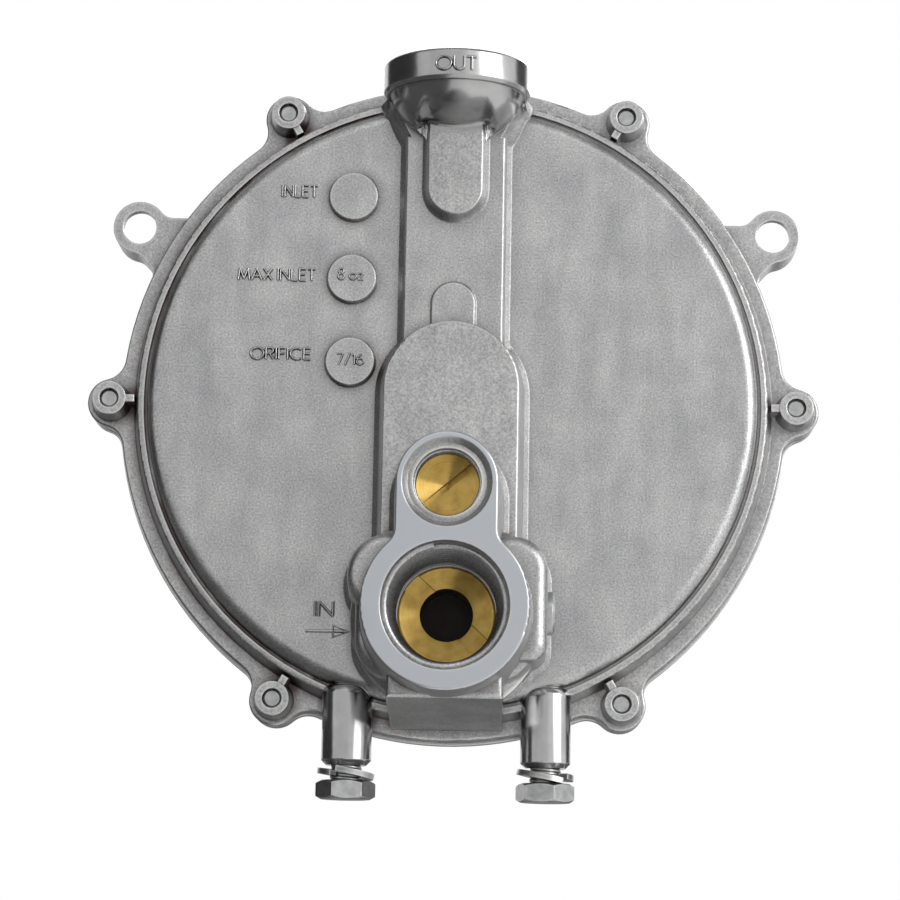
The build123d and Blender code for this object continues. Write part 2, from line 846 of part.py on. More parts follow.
# Diaphragm membrane with one rolled ring that lets its middle travel
with BuildPart() as diaphragm_membrane:
    with BuildSketch(front_plane(cover_y)):
        add(flange_outline(flange_r))
        with PolarLocations(screw_circle_r, screw_count):
            Circle(screw_clear_r, mode=Mode.SUBTRACT)
        Circle(convolution_r, mode=Mode.SUBTRACT)
    extrude(amount=membrane_t)
    with BuildSketch(front_plane(cover_y)):
        Circle(convolution_r)
        Circle(post_r + run_gap, mode=Mode.SUBTRACT)
    extrude(amount=membrane_t)
    roll_in = convolution_r - convolution_w
    roll_out = convolution_r + convolution_w
    with BuildSketch(turn_plane):
        with BuildLine():
            Polyline((roll_in, cover_y), (roll_in, part_y), (roll_out, part_y), (roll_out, cover_y), close=True)
        make_face()
    revolve(axis=disc_axis, mode=Mode.SUBTRACT)
    with BuildSketch(turn_plane):
        with BuildLine():
            ThreePointArc((roll_in, part_y), (convolution_r, part_y + convolution_h), (roll_out, part_y))
            Line((roll_out, part_y), (roll_out, cover_y))
            ThreePointArc((roll_out, cover_y), (convolution_r, cover_y + convolution_h), (roll_in, cover_y))
            Line((roll_in, cover_y), (roll_in, part_y))
        make_face()
    revolve(axis=disc_axis)

# Plates and post that ride on the membrane
with BuildPart() as diaphragm_front_plate:
    add(drum(plate_r, part_y - plate_t, part_y))
    add(drum(plate_bore_r, part_y - plate_t, part_y), mode=Mode.SUBTRACT)
    chamfer(diaphragm_front_plate.edges().group_by(Axis.Y)[0].sort_by(SortBy.LENGTH)[-1], plate_t / 2)

with BuildPart() as diaphragm_rear_plate:
    add(drum(plate_r, cover_y, cover_y + plate_t))
    add(drum(plate_bore_r, cover_y, cover_y + plate_t), mode=Mode.SUBTRACT)
    chamfer(diaphragm_rear_plate.edges().group_by(Axis.Y)[-1].sort_by(SortBy.LENGTH)[-1], plate_t / 2)

with BuildPart() as diaphragm_post:
    add(drum(post_r, post_tip_y, cover_y + plate_t))
    chamfer(diaphragm_post.edges().group_by(Axis.Y)[0], post_tip_bevel)
    add(drum(post_collar_r, part_y - plate_t - post_collar_t, part_y - plate_t))
    add(drum(post_head_r, cover_y + plate_t, cover_y + plate_t + post_head_t))
    chamfer(diaphragm_post.edges().group_by(Axis.Y)[-1], post_head_t / 2)

# Valve lever, a stamping that swings about the fulcrum pin
tip_y = post_tip_y - lever_gap
with BuildPart() as valve_lever:
    with BuildSketch(side_plane(-lever_w / 2)):
        with BuildLine():
            Polyline(
                (lever_y, lever_low_z),
                (lever_y + lever_t, lever_low_z),
                (lever_y + lever_t, lever_bend_low),
                (tip_y, lever_bend_high),
                (tip_y, lever_tip_z),
                (tip_y - lever_t, lever_tip_z),
                (tip_y - lever_t, lever_bend_high + lever_t / 2),
                (lever_y, lever_bend_low + lever_t / 2),
                close=True,
            )
        make_face()
        with Locations((fulcrum_y, fulcrum_z)):
            Circle(lever_hub_r)
            Circle(pin_r + run_gap, mode=Mode.SUBTRACT)
    extrude(amount=lever_w)

with BuildPart() as valve_pad:
    add(drum(valve_r, seat_nose_y + run_gap, lever_y, inlet_z))
    chamfer(valve_pad.edges().group_by(Axis.Y)[0], edge_break)

with BuildPart() as fulcrum_pin:
    with BuildSketch(side_plane(-pin_len / 2)):
        with Locations((fulcrum_y, fulcrum_z)):
            Circle(pin_r)
    extrude(amount=pin_len)
    chamfer(fulcrum_pin.edges().group_by(Axis.X)[0] + fulcrum_pin.edges().group_by(Axis.X)[-1], edge_break)

with BuildPart() as fulcrum_screws:
    screw_face = fulcrum_y + pin_r
    for side in (-1, 1):
        screw_z = fulcrum_z - fulcrum_screw_dz
        add(drum(fulcrum_screw_r, screw_face - fulcrum_screw_len, screw_face, screw_z, side * fulcrum_screw_x))
        add(drum(fulcrum_head_r, screw_face, screw_face + fulcrum_head_t, screw_z, side * fulcrum_screw_x))

# Orifice seat with a driver slot across its face, and the seal ring behind its head
with BuildPart() as orifice_seat:
    add(drum(seat_r, seat_y, seat_y + seat_head_t, inlet_z))
    add(drum(seat_nose_r, seat_y + seat_head_t, seat_nose_y, inlet_z))
    chamfer(orifice_seat.edges().group_by(Axis.Y)[0], seat_edge)
    chamfer(orifice_seat.edges().group_by(Axis.Y)[-1], seat_nose_r - seat_bore_r - seat_land)
    add(drum(seat_bore_r, seat_y, seat_nose_y, inlet_z), mode=Mode.SUBTRACT)
    with BuildSketch(front_plane(seat_y + seat_slot_d)):
        with Locations(Location((0, inlet_z, 0), (0, 0, seat_slot_angle))):
            Rectangle(3 * seat_r, seat_slot_w)
    extrude(amount=seat_slot_d + root, mode=Mode.SUBTRACT)

with BuildPart() as orifice_seal:
    add(drum(seal_r, seat_y + seat_head_t, seat_shoulder_y, inlet_z))
    add(drum(seat_nose_r, seat_y + seat_head_t, seat_shoulder_y, inlet_z), mode=Mode.SUBTRACT)

# Adjusting screw with a driver slot in front and a spring pocket behind
with BuildPart() as adjusting_screw:
    add(drum(adjust_r, adjust_y, adjust_y + adjust_len, adjust_z))
    chamfer(adjusting_screw.edges().group_by(Axis.Y)[0], edge_break)
    socket_y = adjust_y + adjust_len - adjust_socket_d
    add(drum(adjust_socket_r, socket_y, socket_y + adjust_socket_d, adjust_z), mode=Mode.SUBTRACT)
    with BuildSketch(front_plane(adjust_y + adjust_slot_d)):
        with Locations(Location((0, adjust_z, 0), (0, 0, adjust_slot_angle))):
            Rectangle(3 * adjust_r, adjust_slot_w)
    extrude(amount=adjust_slot_d + root, mode=Mode.SUBTRACT)

balance_spring = coil(
    balance_r, balance_wire_r, socket_y + run_gap, lever_y - run_gap, balance_coils, adjust_z)

# Primer button in the hub of the cover
with BuildPart() as primer_button:
    add(drum(primer_r, primer_in_y, primer_out_y))
    fillet(primer_button.edges().group_by(Axis.Y)[-1], primer_dome)
    add(drum(primer_stem_r, primer_stem_y, primer_in_y))
    add(drum(primer_stem_r + root, ring_front_y, ring_back_y), mode=Mode.SUBTRACT)
    add(drum(groove_r, ring_front_y, ring_back_y))

with BuildPart() as primer_ring:
    add(drum(primer_ring_r, ring_front_y, ring_back_y))
    add(drum(groove_r, ring_front_y, ring_back_y), mode=Mode.SUBTRACT)
    with BuildSketch(front_plane(guide_in_y)):
        with Locations((0, -primer_ring_r / 2)):
            Rectangle(2 * groove_r, primer_ring_r)
    extrude(amount=2 * primer_ring_t, mode=Mode.SUBTRACT)

primer_spring = coil(
    primer_spring_r, primer_wire_r, pocket_floor_y + run_gap, primer_in_y - run_gap, primer_coils, 0.0)

# Six cover screws, driven in from the back, whose tips show in the front bosses
with BuildPart() as cover_screws:
    with BuildSketch(front_plane(cover_back_y)):
        with PolarLocations(screw_circle_r, screw_count):
            Circle(screw_r)
    extrude(amount=cover_back_y - boss_y - screw_recess)
    chamfer(cover_screws.edges().group_by(Axis.Y)[0], screw_r - screw_tip_r)
    with BuildSketch(front_plane(cover_back_y)):
        with PolarLocations(screw_circle_r, screw_count):
            Circle(screw_head_r)
    extrude(amount=-screw_head_t)
    chamfer(cover_screws.edges().group_by(Axis.Y)[-1], screw_head_bevel)
    with BuildSketch(front_plane(cover_back_y + screw_head_t)):
        with PolarLocations(screw_circle_r, screw_count):
            Rectangle(screw_slot_w, 3 * screw_head_r)
    extrude(amount=screw_slot_d, mode=Mode.SUBTRACT)

# Bracket bolts and split washers, and the plug of the side port
left_bracket_bolt = hex_bolt(-bracket_x, left_bolt_turn)
right_bracket_bolt = hex_bolt(bracket_x, right_bolt_turn)
left_split_washer = split_washer(-bracket_x, left_washer_turn)
right_split_washer = split_washer(bracket_x, right_washer_turn)

with BuildPart() as side_port_plug:
    with BuildSketch(side_plane(side_x + plug_proud)):
        with Locations((side_port_y, side_port_z)):
            Circle(side_port_r - run_gap)
    extrude(amount=-plug_len)
    chamfer(side_port_plug.edges().group_by(Axis.X)[-1], plug_bevel)
    with BuildSketch(side_plane(side_x + plug_proud)):
        with Locations((side_port_y, side_port_z)):
            RegularPolygon(plug_socket / 2, 6, major_radius=False)
    extrude(amount=-plug_socket_d, mode=Mode.SUBTRACT)

pieces = {
    "front_body": front_body,
    "rear_cover": rear_cover,
    "diaphragm_membrane": diaphragm_membrane,
    "diaphragm_front_plate": diaphragm_front_plate,
    "diaphragm_rear_plate": diaphragm_rear_plate,
    "diaphragm_post": diaphragm_post,
    "valve_lever": valve_lever,
    "valve_pad": valve_pad,
    "fulcrum_pin": fulcrum_pin,
    "fulcrum_screws": fulcrum_screws,
    "orifice_seat": orifice_seat,
    "orifice_seal": orifice_seal,
    "adjusting_screw": adjusting_screw,
    "balance_spring": balance_spring,
    "primer_button": primer_button,
    "primer_ring": primer_ring,
    "primer_spring": primer_spring,
    "cover_screws": cover_screws,
    "left_bracket_bolt": left_bracket_bolt,
    "right_bracket_bolt": right_bracket_bolt,
    "left_split_washer": left_split_washer,
    "right_split_washer": right_split_washer,
    "side_port_plug": side_port_plug,
}
os.makedirs("parts", exist_ok=True)
for name, piece in pieces.items():
    piece.part.label = name
    export_step(piece.part, f"parts/{name}.step")
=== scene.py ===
"""Looks of a die cast low pressure gas regulator, in metres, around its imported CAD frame."""
import math

import bmesh
import bpy
from mathutils import Matrix, Vector


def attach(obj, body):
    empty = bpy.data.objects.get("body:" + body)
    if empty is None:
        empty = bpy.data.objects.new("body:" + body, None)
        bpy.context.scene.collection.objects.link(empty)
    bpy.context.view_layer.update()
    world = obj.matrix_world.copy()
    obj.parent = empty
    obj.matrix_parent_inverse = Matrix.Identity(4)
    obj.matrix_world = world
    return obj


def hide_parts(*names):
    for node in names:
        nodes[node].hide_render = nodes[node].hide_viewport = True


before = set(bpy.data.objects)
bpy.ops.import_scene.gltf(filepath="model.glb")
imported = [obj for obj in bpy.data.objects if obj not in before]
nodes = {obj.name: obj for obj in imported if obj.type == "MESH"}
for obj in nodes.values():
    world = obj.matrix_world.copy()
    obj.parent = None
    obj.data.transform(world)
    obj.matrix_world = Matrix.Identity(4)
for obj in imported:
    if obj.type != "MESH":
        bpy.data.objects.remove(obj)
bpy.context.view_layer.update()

MM = 0.001

# Places and sizes that the solids have, in mm
DISC_Z = -40.0
DOME_Y = -20.0
PORT_Y = -58.0
PAD_X, PAD_ROWS, PAD_R = -22.3, (4.9, -13.5, -32.0), 5.45
INLET_Z = -88.9
INLET_R, INLET_MOUTH_Y, INLET_FLOOR_Y = 12.1, -56.9, -42.65
ADJUST_Z, ADJUST_R, ADJUST_STEP_Y, ADJUST_SEAT_Y = -63.7, 7.0, -55.4, -51.2
BLOCK_X, BLOCK_Y, BLOCK_LOW_Z = 12.0, -46.5, -106.7
OUTLET_Y, OUTLET_R = -26.0, 12.3
COLLAR_R, COLLAR_Z = 16.0, 26.2
BOWL_Z = 31.5
BRACKET_X, BRACKET_Y, BRACKET_FACE_Z, BOLT_R = 21.3, -15.5, -119.0, 3.15

# Where the visual copy of the front housing differs from its solid, in mm
PAD_LIFT, PAD_FOOT_R = 0.9, 5.6
PAD_RISE = 0.7 + PAD_LIFT
INLET_MOUTH_R, INLET_DEEP_R = 12.9, 11.4
ADJUST_CONE_Y = -56.9
BLOCK_SLOPE_Y, BLOCK_SLOPE = -47.0, 4.3 / 37.0
NECK_LOW_Z, NECK_TOP_Z, NECK_INNER_X, NECK_OUTER_X, NECK_FRONT_Y = 26.1, 31.5, 12.0, 18.5, -18.5
NECK_TUCK_R = 15.9
BOWL_LOW_Z, BOWL_FLAT_X, BOWL_BLEND, BOWL_FLATNESS = 8.0, 9.5, 4.0, 0.40
# Edges sharper than this stay sharp in the smooth copies
SHARP_ANGLE = math.radians(32)


def linear(code):
    """An sRGB hex colour as linear RGBA."""
    parts = [int(code[i:i + 2], 16) / 255 for i in (1, 3, 5)]
    return [c / 12.92 if c <= 0.04045 else ((c + 0.055) / 1.055) ** 2.4 for c in parts] + [1.0]


def add_node(tree, kind, settings=None, inputs=None, links=None):
    """Adds a node with its settings, socket values and the links that come into it."""
    node = tree.nodes.new(kind)
    for key, value in (settings or {}).items():
        setattr(node, key, value)
    for key, value in (inputs or {}).items():
        node.inputs[key].default_value = value
    for key, socket in (links or {}).items():
        tree.links.new(socket, node.inputs[key])
    return node


def new_material(name, **sockets):
    """An empty material with a Principled shader and its output, with fixed socket values."""
    material = bpy.data.materials.new(name)
    material.use_nodes = True
    tree = material.node_tree
    tree.nodes.clear()
    shader = add_node(tree, "ShaderNodeBsdfPrincipled", inputs=sockets)
    add_node(tree, "ShaderNodeOutputMaterial", links={"Surface": shader.outputs[0]})
    return material, tree, shader


def die_cast_aluminium(name, edge_width, edge_round):
    """Die cast and tumbled aluminium: a grey, finely speckled skin with soft cloudy patches, brown-violet
    release stains in its corners that also paint shade there, heavier on the left, burnished edges lightened further
    as a painted highlight, and smoother, brighter metal on the bowl, the collar, the bracket bosses and the milled port
    face."""
    material, tree, shader = new_material(name, Metallic=1.0)
    place = add_node(tree, "ShaderNodeTexCoord").outputs["Object"]
    axes = add_node(tree, "ShaderNodeSeparateXYZ", links={"Vector": place})

    # Tumbled grain is about 0.1 mm across and is drawn at 0.4 mm, or it wouldn't show
    grain = add_node(tree, "ShaderNodeTexNoise", inputs={"Scale": 1 / (0.4 * MM), "Detail": 2.0, "Roughness": 0.65},
                     links={"Vector": place})
    # Cloudy patches of 8 mm and soft waves of 5 mm, left by the flow of the metal in the die
    clouds = add_node(tree, "ShaderNodeTexNoise", inputs={"Scale": 1 / (8 * MM), "Detail": 5.0, "Roughness": 0.6},
                      links={"Vector": place})
    waves = add_node(tree, "ShaderNodeTexNoise", inputs={"Scale": 1 / (5 * MM), "Detail": 1.0}, links={"Vector": place})
    flow_way = add_node(tree, "ShaderNodeMapping", inputs={"Rotation": (0, math.radians(38), 0), "Scale": (1, 1, 0.22)},
                        links={"Vector": place})
    flow = add_node(tree, "ShaderNodeTexNoise", inputs={"Scale": 1 / (5 * MM), "Detail": 3.0, "Distortion": 0.4},
                    links={"Vector": flow_way.outputs[0]})

    # Corners within 3 mm of another wall, for stains and painted shade, and convex edges of the casting, for wear and a
    # painted highlight
    corner = add_node(tree, "ShaderNodeAmbientOcclusion", {"samples": 6, "only_local": True},
                      {"Distance": 3.0 * MM})
    crevice_shade_and_stain = add_node(tree, "ShaderNodeMapRange", inputs={"From Min": 0.95, "From Max": 0.5},
                       links={"Value": corner.outputs["AO"]})
    inner = add_node(tree, "ShaderNodeAmbientOcclusion", {"samples": 6, "only_local": True, "inside": True},
                     {"Distance": edge_width * MM})
    edge = add_node(tree, "ShaderNodeMapRange", inputs={"From Min": 0.5, "From Max": 0.85},
                    links={"Value": inner.outputs["AO"]})

    # Smooth places: bowl, collar and bracket bosses, and the port face
    from_bowl = add_node(tree, "ShaderNodeVectorMath", {"operation": "DISTANCE"},
                         {1: (0, OUTLET_Y * MM, BOWL_Z * MM)}, {0: place})
    bowl_round = add_node(tree, "ShaderNodeMapRange", inputs={"From Min": 17.6 * MM, "From Max": 16.4 * MM},
                          links={"Value": from_bowl.outputs["Value"]})
    bowl_high = add_node(tree, "ShaderNodeMapRange", inputs={"From Min": 18.0 * MM, "From Max": 19.2 * MM},
                         links={"Value": axes.outputs["Z"]})
    bowl = add_node(tree, "ShaderNodeMath", {"operation": "MULTIPLY"},
                    links={0: bowl_round.outputs[0], 1: bowl_high.outputs[0]})
    folded = add_node(tree, "ShaderNodeVectorMath", {"operation": "ABSOLUTE"}, links={0: place})
    flat = add_node(tree, "ShaderNodeVectorMath", {"operation": "MULTIPLY"}, {1: (1, 1, 0)}, {0: folded.outputs[0]})
    from_boss = add_node(tree, "ShaderNodeVectorMath", {"operation": "DISTANCE"},
                         {1: (BRACKET_X * MM, -BRACKET_Y * MM, 0)}, {0: flat.outputs[0]})
    boss_round = add_node(tree, "ShaderNodeMapRange", inputs={"From Min": 6.2 * MM, "From Max": 5.7 * MM},
                          links={"Value": from_boss.outputs["Value"]})
    boss_low = add_node(tree, "ShaderNodeMapRange", inputs={"From Min": -99 * MM, "From Max": -102 * MM},
                        links={"Value": axes.outputs["Z"]})
    boss = add_node(tree, "ShaderNodeMath", {"operation": "MULTIPLY"},
                    links={0: boss_round.outputs[0], 1: boss_low.outputs[0]})
    smooth = add_node(tree, "ShaderNodeMath", {"operation": "MAXIMUM"}, links={0: bowl.outputs[0], 1: boss.outputs[0]})
    milled = add_node(tree, "ShaderNodeMapRange",
                      inputs={"From Min": (PORT_Y + 0.5) * MM, "From Max": (PORT_Y + 0.1) * MM},
                      links={"Value": axes.outputs["Y"]})
    fine = add_node(tree, "ShaderNodeMath", {"operation": "MAXIMUM"},
                    links={0: smooth.outputs[0], 1: milled.outputs[0]})

    # Colour: clouds, then grain, milled face, stains with painted shade in the corners, heavier on the left, and worn
    # edges with a painted highlight
    cloud_tone = add_node(tree, "ShaderNodeMapRange", inputs={"From Min": 0.3, "From Max": 0.7},
                          links={"Value": clouds.outputs[0]})
    skin = add_node(tree, "ShaderNodeMix", {"data_type": "RGBA"},
                    {"A": linear("#ADADAF"), "B": linear("#BFBFBE")}, {"Factor": cloud_tone.outputs[0]})
    speckle = add_node(tree, "ShaderNodeMapRange",
                       inputs={"From Min": 0.25, "From Max": 0.75, "To Min": 0.62, "To Max": 1.38},
                       links={"Value": grain.outputs[0]})
    speckle_light = add_node(tree, "ShaderNodeMix", {"data_type": "FLOAT"}, {"B": 1.0},
                             {"Factor": fine.outputs[0], "A": speckle.outputs[0]})
    grained = add_node(tree, "ShaderNodeMix", {"data_type": "RGBA", "blend_type": "MULTIPLY"},
                       {"Factor": 1.0}, {"A": skin.outputs["Result"], "B": speckle_light.outputs[0]})
    streak = add_node(tree, "ShaderNodeMapRange",
                      inputs={"From Min": 0.35, "From Max": 0.65, "To Min": 0.92, "To Max": 1.06},
                      links={"Value": flow.outputs[0]})
    streaked = add_node(tree, "ShaderNodeMix", {"data_type": "RGBA", "blend_type": "MULTIPLY"},
                        {"Factor": 1.0}, {"A": grained.outputs["Result"], "B": streak.outputs[0]})
    port_skin = add_node(tree, "ShaderNodeMix", {"data_type": "RGBA"}, {"B": linear("#BEC2C7")},
                         {"Factor": milled.outputs[0], "A": streaked.outputs["Result"]})
    # Painted shade: the corner darkening is stronger on the left, the side away from the key lamp
    shaded_left_side = add_node(tree, "ShaderNodeMapRange",
                         inputs={"From Min": 20 * MM, "From Max": -30 * MM, "To Min": 0.5, "To Max": 1.0},
                         links={"Value": axes.outputs["X"]})
    stain_patch = add_node(tree, "ShaderNodeMapRange", inputs={"From Min": 0.3, "From Max": 0.55, "To Min": 0.35},
                           links={"Value": flow.outputs[0]})
    stain_and_shade_side = add_node(tree, "ShaderNodeMath", {"operation": "MULTIPLY"},
                          links={0: shaded_left_side.outputs[0], 1: stain_patch.outputs[0]})
    # Release stains and painted shade: the stain colour darkens the corners found by occlusion
    stain_and_shade = add_node(tree, "ShaderNodeMath", {"operation": "MULTIPLY"},
                     links={0: crevice_shade_and_stain.outputs[0], 1: stain_and_shade_side.outputs[0]})
    stained_and_shaded = add_node(tree, "ShaderNodeMix", {"data_type": "RGBA"}, {"B": linear("#544947")},
                       {"Factor": stain_and_shade.outputs[0], "A": port_skin.outputs["Result"]})
    # Pale edge colour: wear, and a painted highlight along the convex edges
    worn_and_highlit = add_node(tree, "ShaderNodeMix", {"data_type": "RGBA"}, {"A": linear("#DCDCDA")},
                    {"Factor": edge.outputs[0], "B": stained_and_shaded.outputs["Result"]})
    tree.links.new(worn_and_highlit.outputs["Result"], shader.inputs["Base Color"])

    # Roughness: matt skin, glossier where the metal is smooth or worn
    matt = add_node(tree, "ShaderNodeMapRange", inputs={"To Min": 0.3, "To Max": 0.42},
                    links={"Value": clouds.outputs[0]})
    smooth_skin = add_node(tree, "ShaderNodeMix", {"data_type": "FLOAT"}, {"B": 0.2},
                           {"Factor": smooth.outputs[0], "A": matt.outputs[0]})
    milled_skin = add_node(tree, "ShaderNodeMix", {"data_type": "FLOAT"}, {"B": 0.34},
                           {"Factor": milled.outputs[0], "A": smooth_skin.outputs[0]})
    gloss = add_node(tree, "ShaderNodeMix", {"data_type": "FLOAT"}, {"A": 0.24},
                     {"Factor": edge.outputs[0], "B": milled_skin.outputs[0]})
    tree.links.new(gloss.outputs[0], shader.inputs["Roughness"])

    # Relief: rounded casting edges, soft waves and the tumbled grain
    round_edges = add_node(tree, "ShaderNodeBevel", {"samples": 6}, {"Radius": edge_round * MM})
    wavy = add_node(tree, "ShaderNodeBump", inputs={"Strength": 1.0, "Distance": 0.06 * MM},
                    links={"Height": waves.outputs[0], "Normal": round_edges.outputs[0]})
    grain_depth = add_node(tree, "ShaderNodeMapRange", inputs={"To Min": 0.4, "To Max": 0.06},
                           links={"Value": fine.outputs[0]})
    rough = add_node(tree, "ShaderNodeBump", inputs={"Distance": 0.08 * MM},
                     links={"Strength": grain_depth.outputs[0], "Height": grain.outputs[0], "Normal": wavy.outputs[0]})
    tree.links.new(rough.outputs[0], shader.inputs["Normal"])
    return material


def turned_brass(name, centre_z):
    """Brass turned on a lathe, seen end on: fine rings round its own axis, whose grooves fan the light
    into bright and dark sectors, and a few brown tarnished patches."""
    material, tree, shader = new_material(name, Metallic=1.0, Anisotropic=0.8)
    place = add_node(tree, "ShaderNodeTexCoord").outputs["Object"]
    centred = add_node(tree, "ShaderNodeMapping", inputs={"Location": (0, 0, -centre_z * MM)}, links={"Vector": place})
    flat = add_node(tree, "ShaderNodeVectorMath", {"operation": "MULTIPLY"}, {1: (1, 0, 1)}, {0: centred.outputs[0]})
    radius = add_node(tree, "ShaderNodeVectorMath", {"operation": "LENGTH"}, links={0: flat.outputs[0]})
    # Tool marks are about 0.1 mm apart and are drawn 0.35 mm apart
    rings = add_node(tree, "ShaderNodeTexNoise", {"noise_dimensions": "1D"},
                     {"Scale": 1 / (0.35 * MM), "Detail": 2.0}, {"W": radius.outputs["Value"]})
    patches = add_node(tree, "ShaderNodeTexNoise", inputs={"Scale": 1 / (2.5 * MM), "Detail": 4.0},
                       links={"Vector": place})
    grit = add_node(tree, "ShaderNodeTexNoise", inputs={"Scale": 1 / (0.3 * MM), "Detail": 1.0},
                    links={"Vector": place})
    tarnish = add_node(tree, "ShaderNodeMapRange", inputs={"From Min": 0.42, "From Max": 0.72, "To Max": 0.55},
                       links={"Value": patches.outputs[0]})
    metal = add_node(tree, "ShaderNodeMix", {"data_type": "RGBA"},
                     {"A": linear("#C4A45B"), "B": linear("#94702F")}, {"Factor": tarnish.outputs[0]})
    ring_tone = add_node(tree, "ShaderNodeMapRange",
                         inputs={"From Min": 0.3, "From Max": 0.7, "To Min": 0.94, "To Max": 1.04},
                         links={"Value": rings.outputs[0]})
    ringed = add_node(tree, "ShaderNodeMix", {"data_type": "RGBA", "blend_type": "MULTIPLY"}, {"Factor": 1.0},
                      {"A": metal.outputs["Result"], "B": ring_tone.outputs[0]})
    tree.links.new(ringed.outputs["Result"], shader.inputs["Base Color"])
    gloss = add_node(tree, "ShaderNodeMapRange", inputs={"To Min": 0.24, "To Max": 0.4},
                     links={"Value": grit.outputs[0]})
    tree.links.new(gloss.outputs[0], shader.inputs["Roughness"])
    # Light is drawn out across the grooves, along the radius
    unit = add_node(tree, "ShaderNodeVectorMath", {"operation": "NORMALIZE"}, links={0: flat.outputs[0]})
    turned = add_node(tree, "ShaderNodeVectorTransform",
                      {"vector_type": "VECTOR", "convert_from": "OBJECT", "convert_to": "WORLD"},
                      links={0: unit.outputs[0]})
    tree.links.new(turned.outputs[0], shader.inputs["Tangent"])
    round_edges = add_node(tree, "ShaderNodeBevel", {"samples": 4}, {"Radius": 0.12 * MM})
    # The tool left the face dished, by 18 degrees in its normal, which parts the bright sector from the dark one
    dish = add_node(tree, "ShaderNodeMath", {"operation": "MULTIPLY"}, {1: 0.32}, {0: radius.outputs["Value"]})
    height = add_node(tree, "ShaderNodeMath", {"operation": "MULTIPLY_ADD"}, {1: 0.008 * MM},
                      {0: rings.outputs[0], 2: dish.outputs[0]})
    relief = add_node(tree, "ShaderNodeBump", inputs={"Strength": 1.0, "Distance": 1.0},
                      links={"Height": height.outputs[0], "Normal": round_edges.outputs[0]})
    tree.links.new(relief.outputs[0], shader.inputs["Normal"])
    return material


def zinc_plated_steel():
    """Rolled and pressed steel with a bright zinc plating: a cold grey with faint cloudy patches, fine draw
    marks and edges where the plating has rubbed brighter."""
    material, tree, shader = new_material("zinc_plated_steel", Metallic=1.0)
    place = add_node(tree, "ShaderNodeTexCoord").outputs["Object"]
    patches = add_node(tree, "ShaderNodeTexNoise", inputs={"Scale": 1 / (1.8 * MM), "Detail": 4.0},
                       links={"Vector": place})
    marks_way = add_node(tree, "ShaderNodeMapping", inputs={"Scale": (1, 1, 0.12)}, links={"Vector": place})
    # Draw marks are under 0.1 mm apart and are drawn 0.35 mm apart
    marks = add_node(tree, "ShaderNodeTexNoise", inputs={"Scale": 1 / (0.35 * MM), "Detail": 2.0},
                     links={"Vector": marks_way.outputs[0]})
    tone = add_node(tree, "ShaderNodeMapRange", inputs={"From Min": 0.3, "From Max": 0.7},
                    links={"Value": patches.outputs[0]})
    plating = add_node(tree, "ShaderNodeMix", {"data_type": "RGBA"},
                       {"A": linear("#A3A5A6"), "B": linear("#C4C5C4")}, {"Factor": tone.outputs[0]})
    inner = add_node(tree, "ShaderNodeAmbientOcclusion", {"samples": 4, "only_local": True, "inside": True},
                     {"Distance": 0.5 * MM})
    edge = add_node(tree, "ShaderNodeMapRange", inputs={"From Min": 0.5, "From Max": 0.85},
                    links={"Value": inner.outputs["AO"]})
    rubbed = add_node(tree, "ShaderNodeMix", {"data_type": "RGBA"}, {"A": linear("#E0E0DD")},
                      {"Factor": edge.outputs[0], "B": plating.outputs["Result"]})
    tree.links.new(rubbed.outputs["Result"], shader.inputs["Base Color"])
    gloss = add_node(tree, "ShaderNodeMapRange", inputs={"To Min": 0.22, "To Max": 0.42},
                     links={"Value": marks.outputs[0]})
    tree.links.new(gloss.outputs[0], shader.inputs["Roughness"])
    round_edges = add_node(tree, "ShaderNodeBevel", {"samples": 4}, {"Radius": 0.2 * MM})
    relief = add_node(tree, "ShaderNodeBump", inputs={"Strength": 0.25, "Distance": 0.03 * MM},
                      links={"Height": marks.outputs[0], "Normal": round_edges.outputs[0]})
    tree.links.new(relief.outputs[0], shader.inputs["Normal"])
    return material


def stamped_sheet_aluminium():
    """Rolled aluminium sheet, stamped: pale, with fine straight rolling lines along X."""
    material, tree, shader = new_material("stamped_sheet_aluminium", Metallic=1.0)
    place = add_node(tree, "ShaderNodeTexCoord").outputs["Object"]
    line_way = add_node(tree, "ShaderNodeMapping", inputs={"Scale": (0.05, 1, 1)}, links={"Vector": place})
    lines = add_node(tree, "ShaderNodeTexNoise", inputs={"Scale": 1 / (0.3 * MM), "Detail": 3.0},
                     links={"Vector": line_way.outputs[0]})
    tone = add_node(tree, "ShaderNodeMix", {"data_type": "RGBA"},
                    {"A": linear("#BDBEC0"), "B": linear("#DADBDC")}, {"Factor": lines.outputs[0]})
    tree.links.new(tone.outputs["Result"], shader.inputs["Base Color"])
    gloss = add_node(tree, "ShaderNodeMapRange", inputs={"To Min": 0.25, "To Max": 0.45},
                     links={"Value": lines.outputs[0]})
    tree.links.new(gloss.outputs[0], shader.inputs["Roughness"])
    relief = add_node(tree, "ShaderNodeBump", inputs={"Strength": 0.2, "Distance": 0.02 * MM},
                      links={"Height": lines.outputs[0]})
    tree.links.new(relief.outputs[0], shader.inputs["Normal"])
    return material


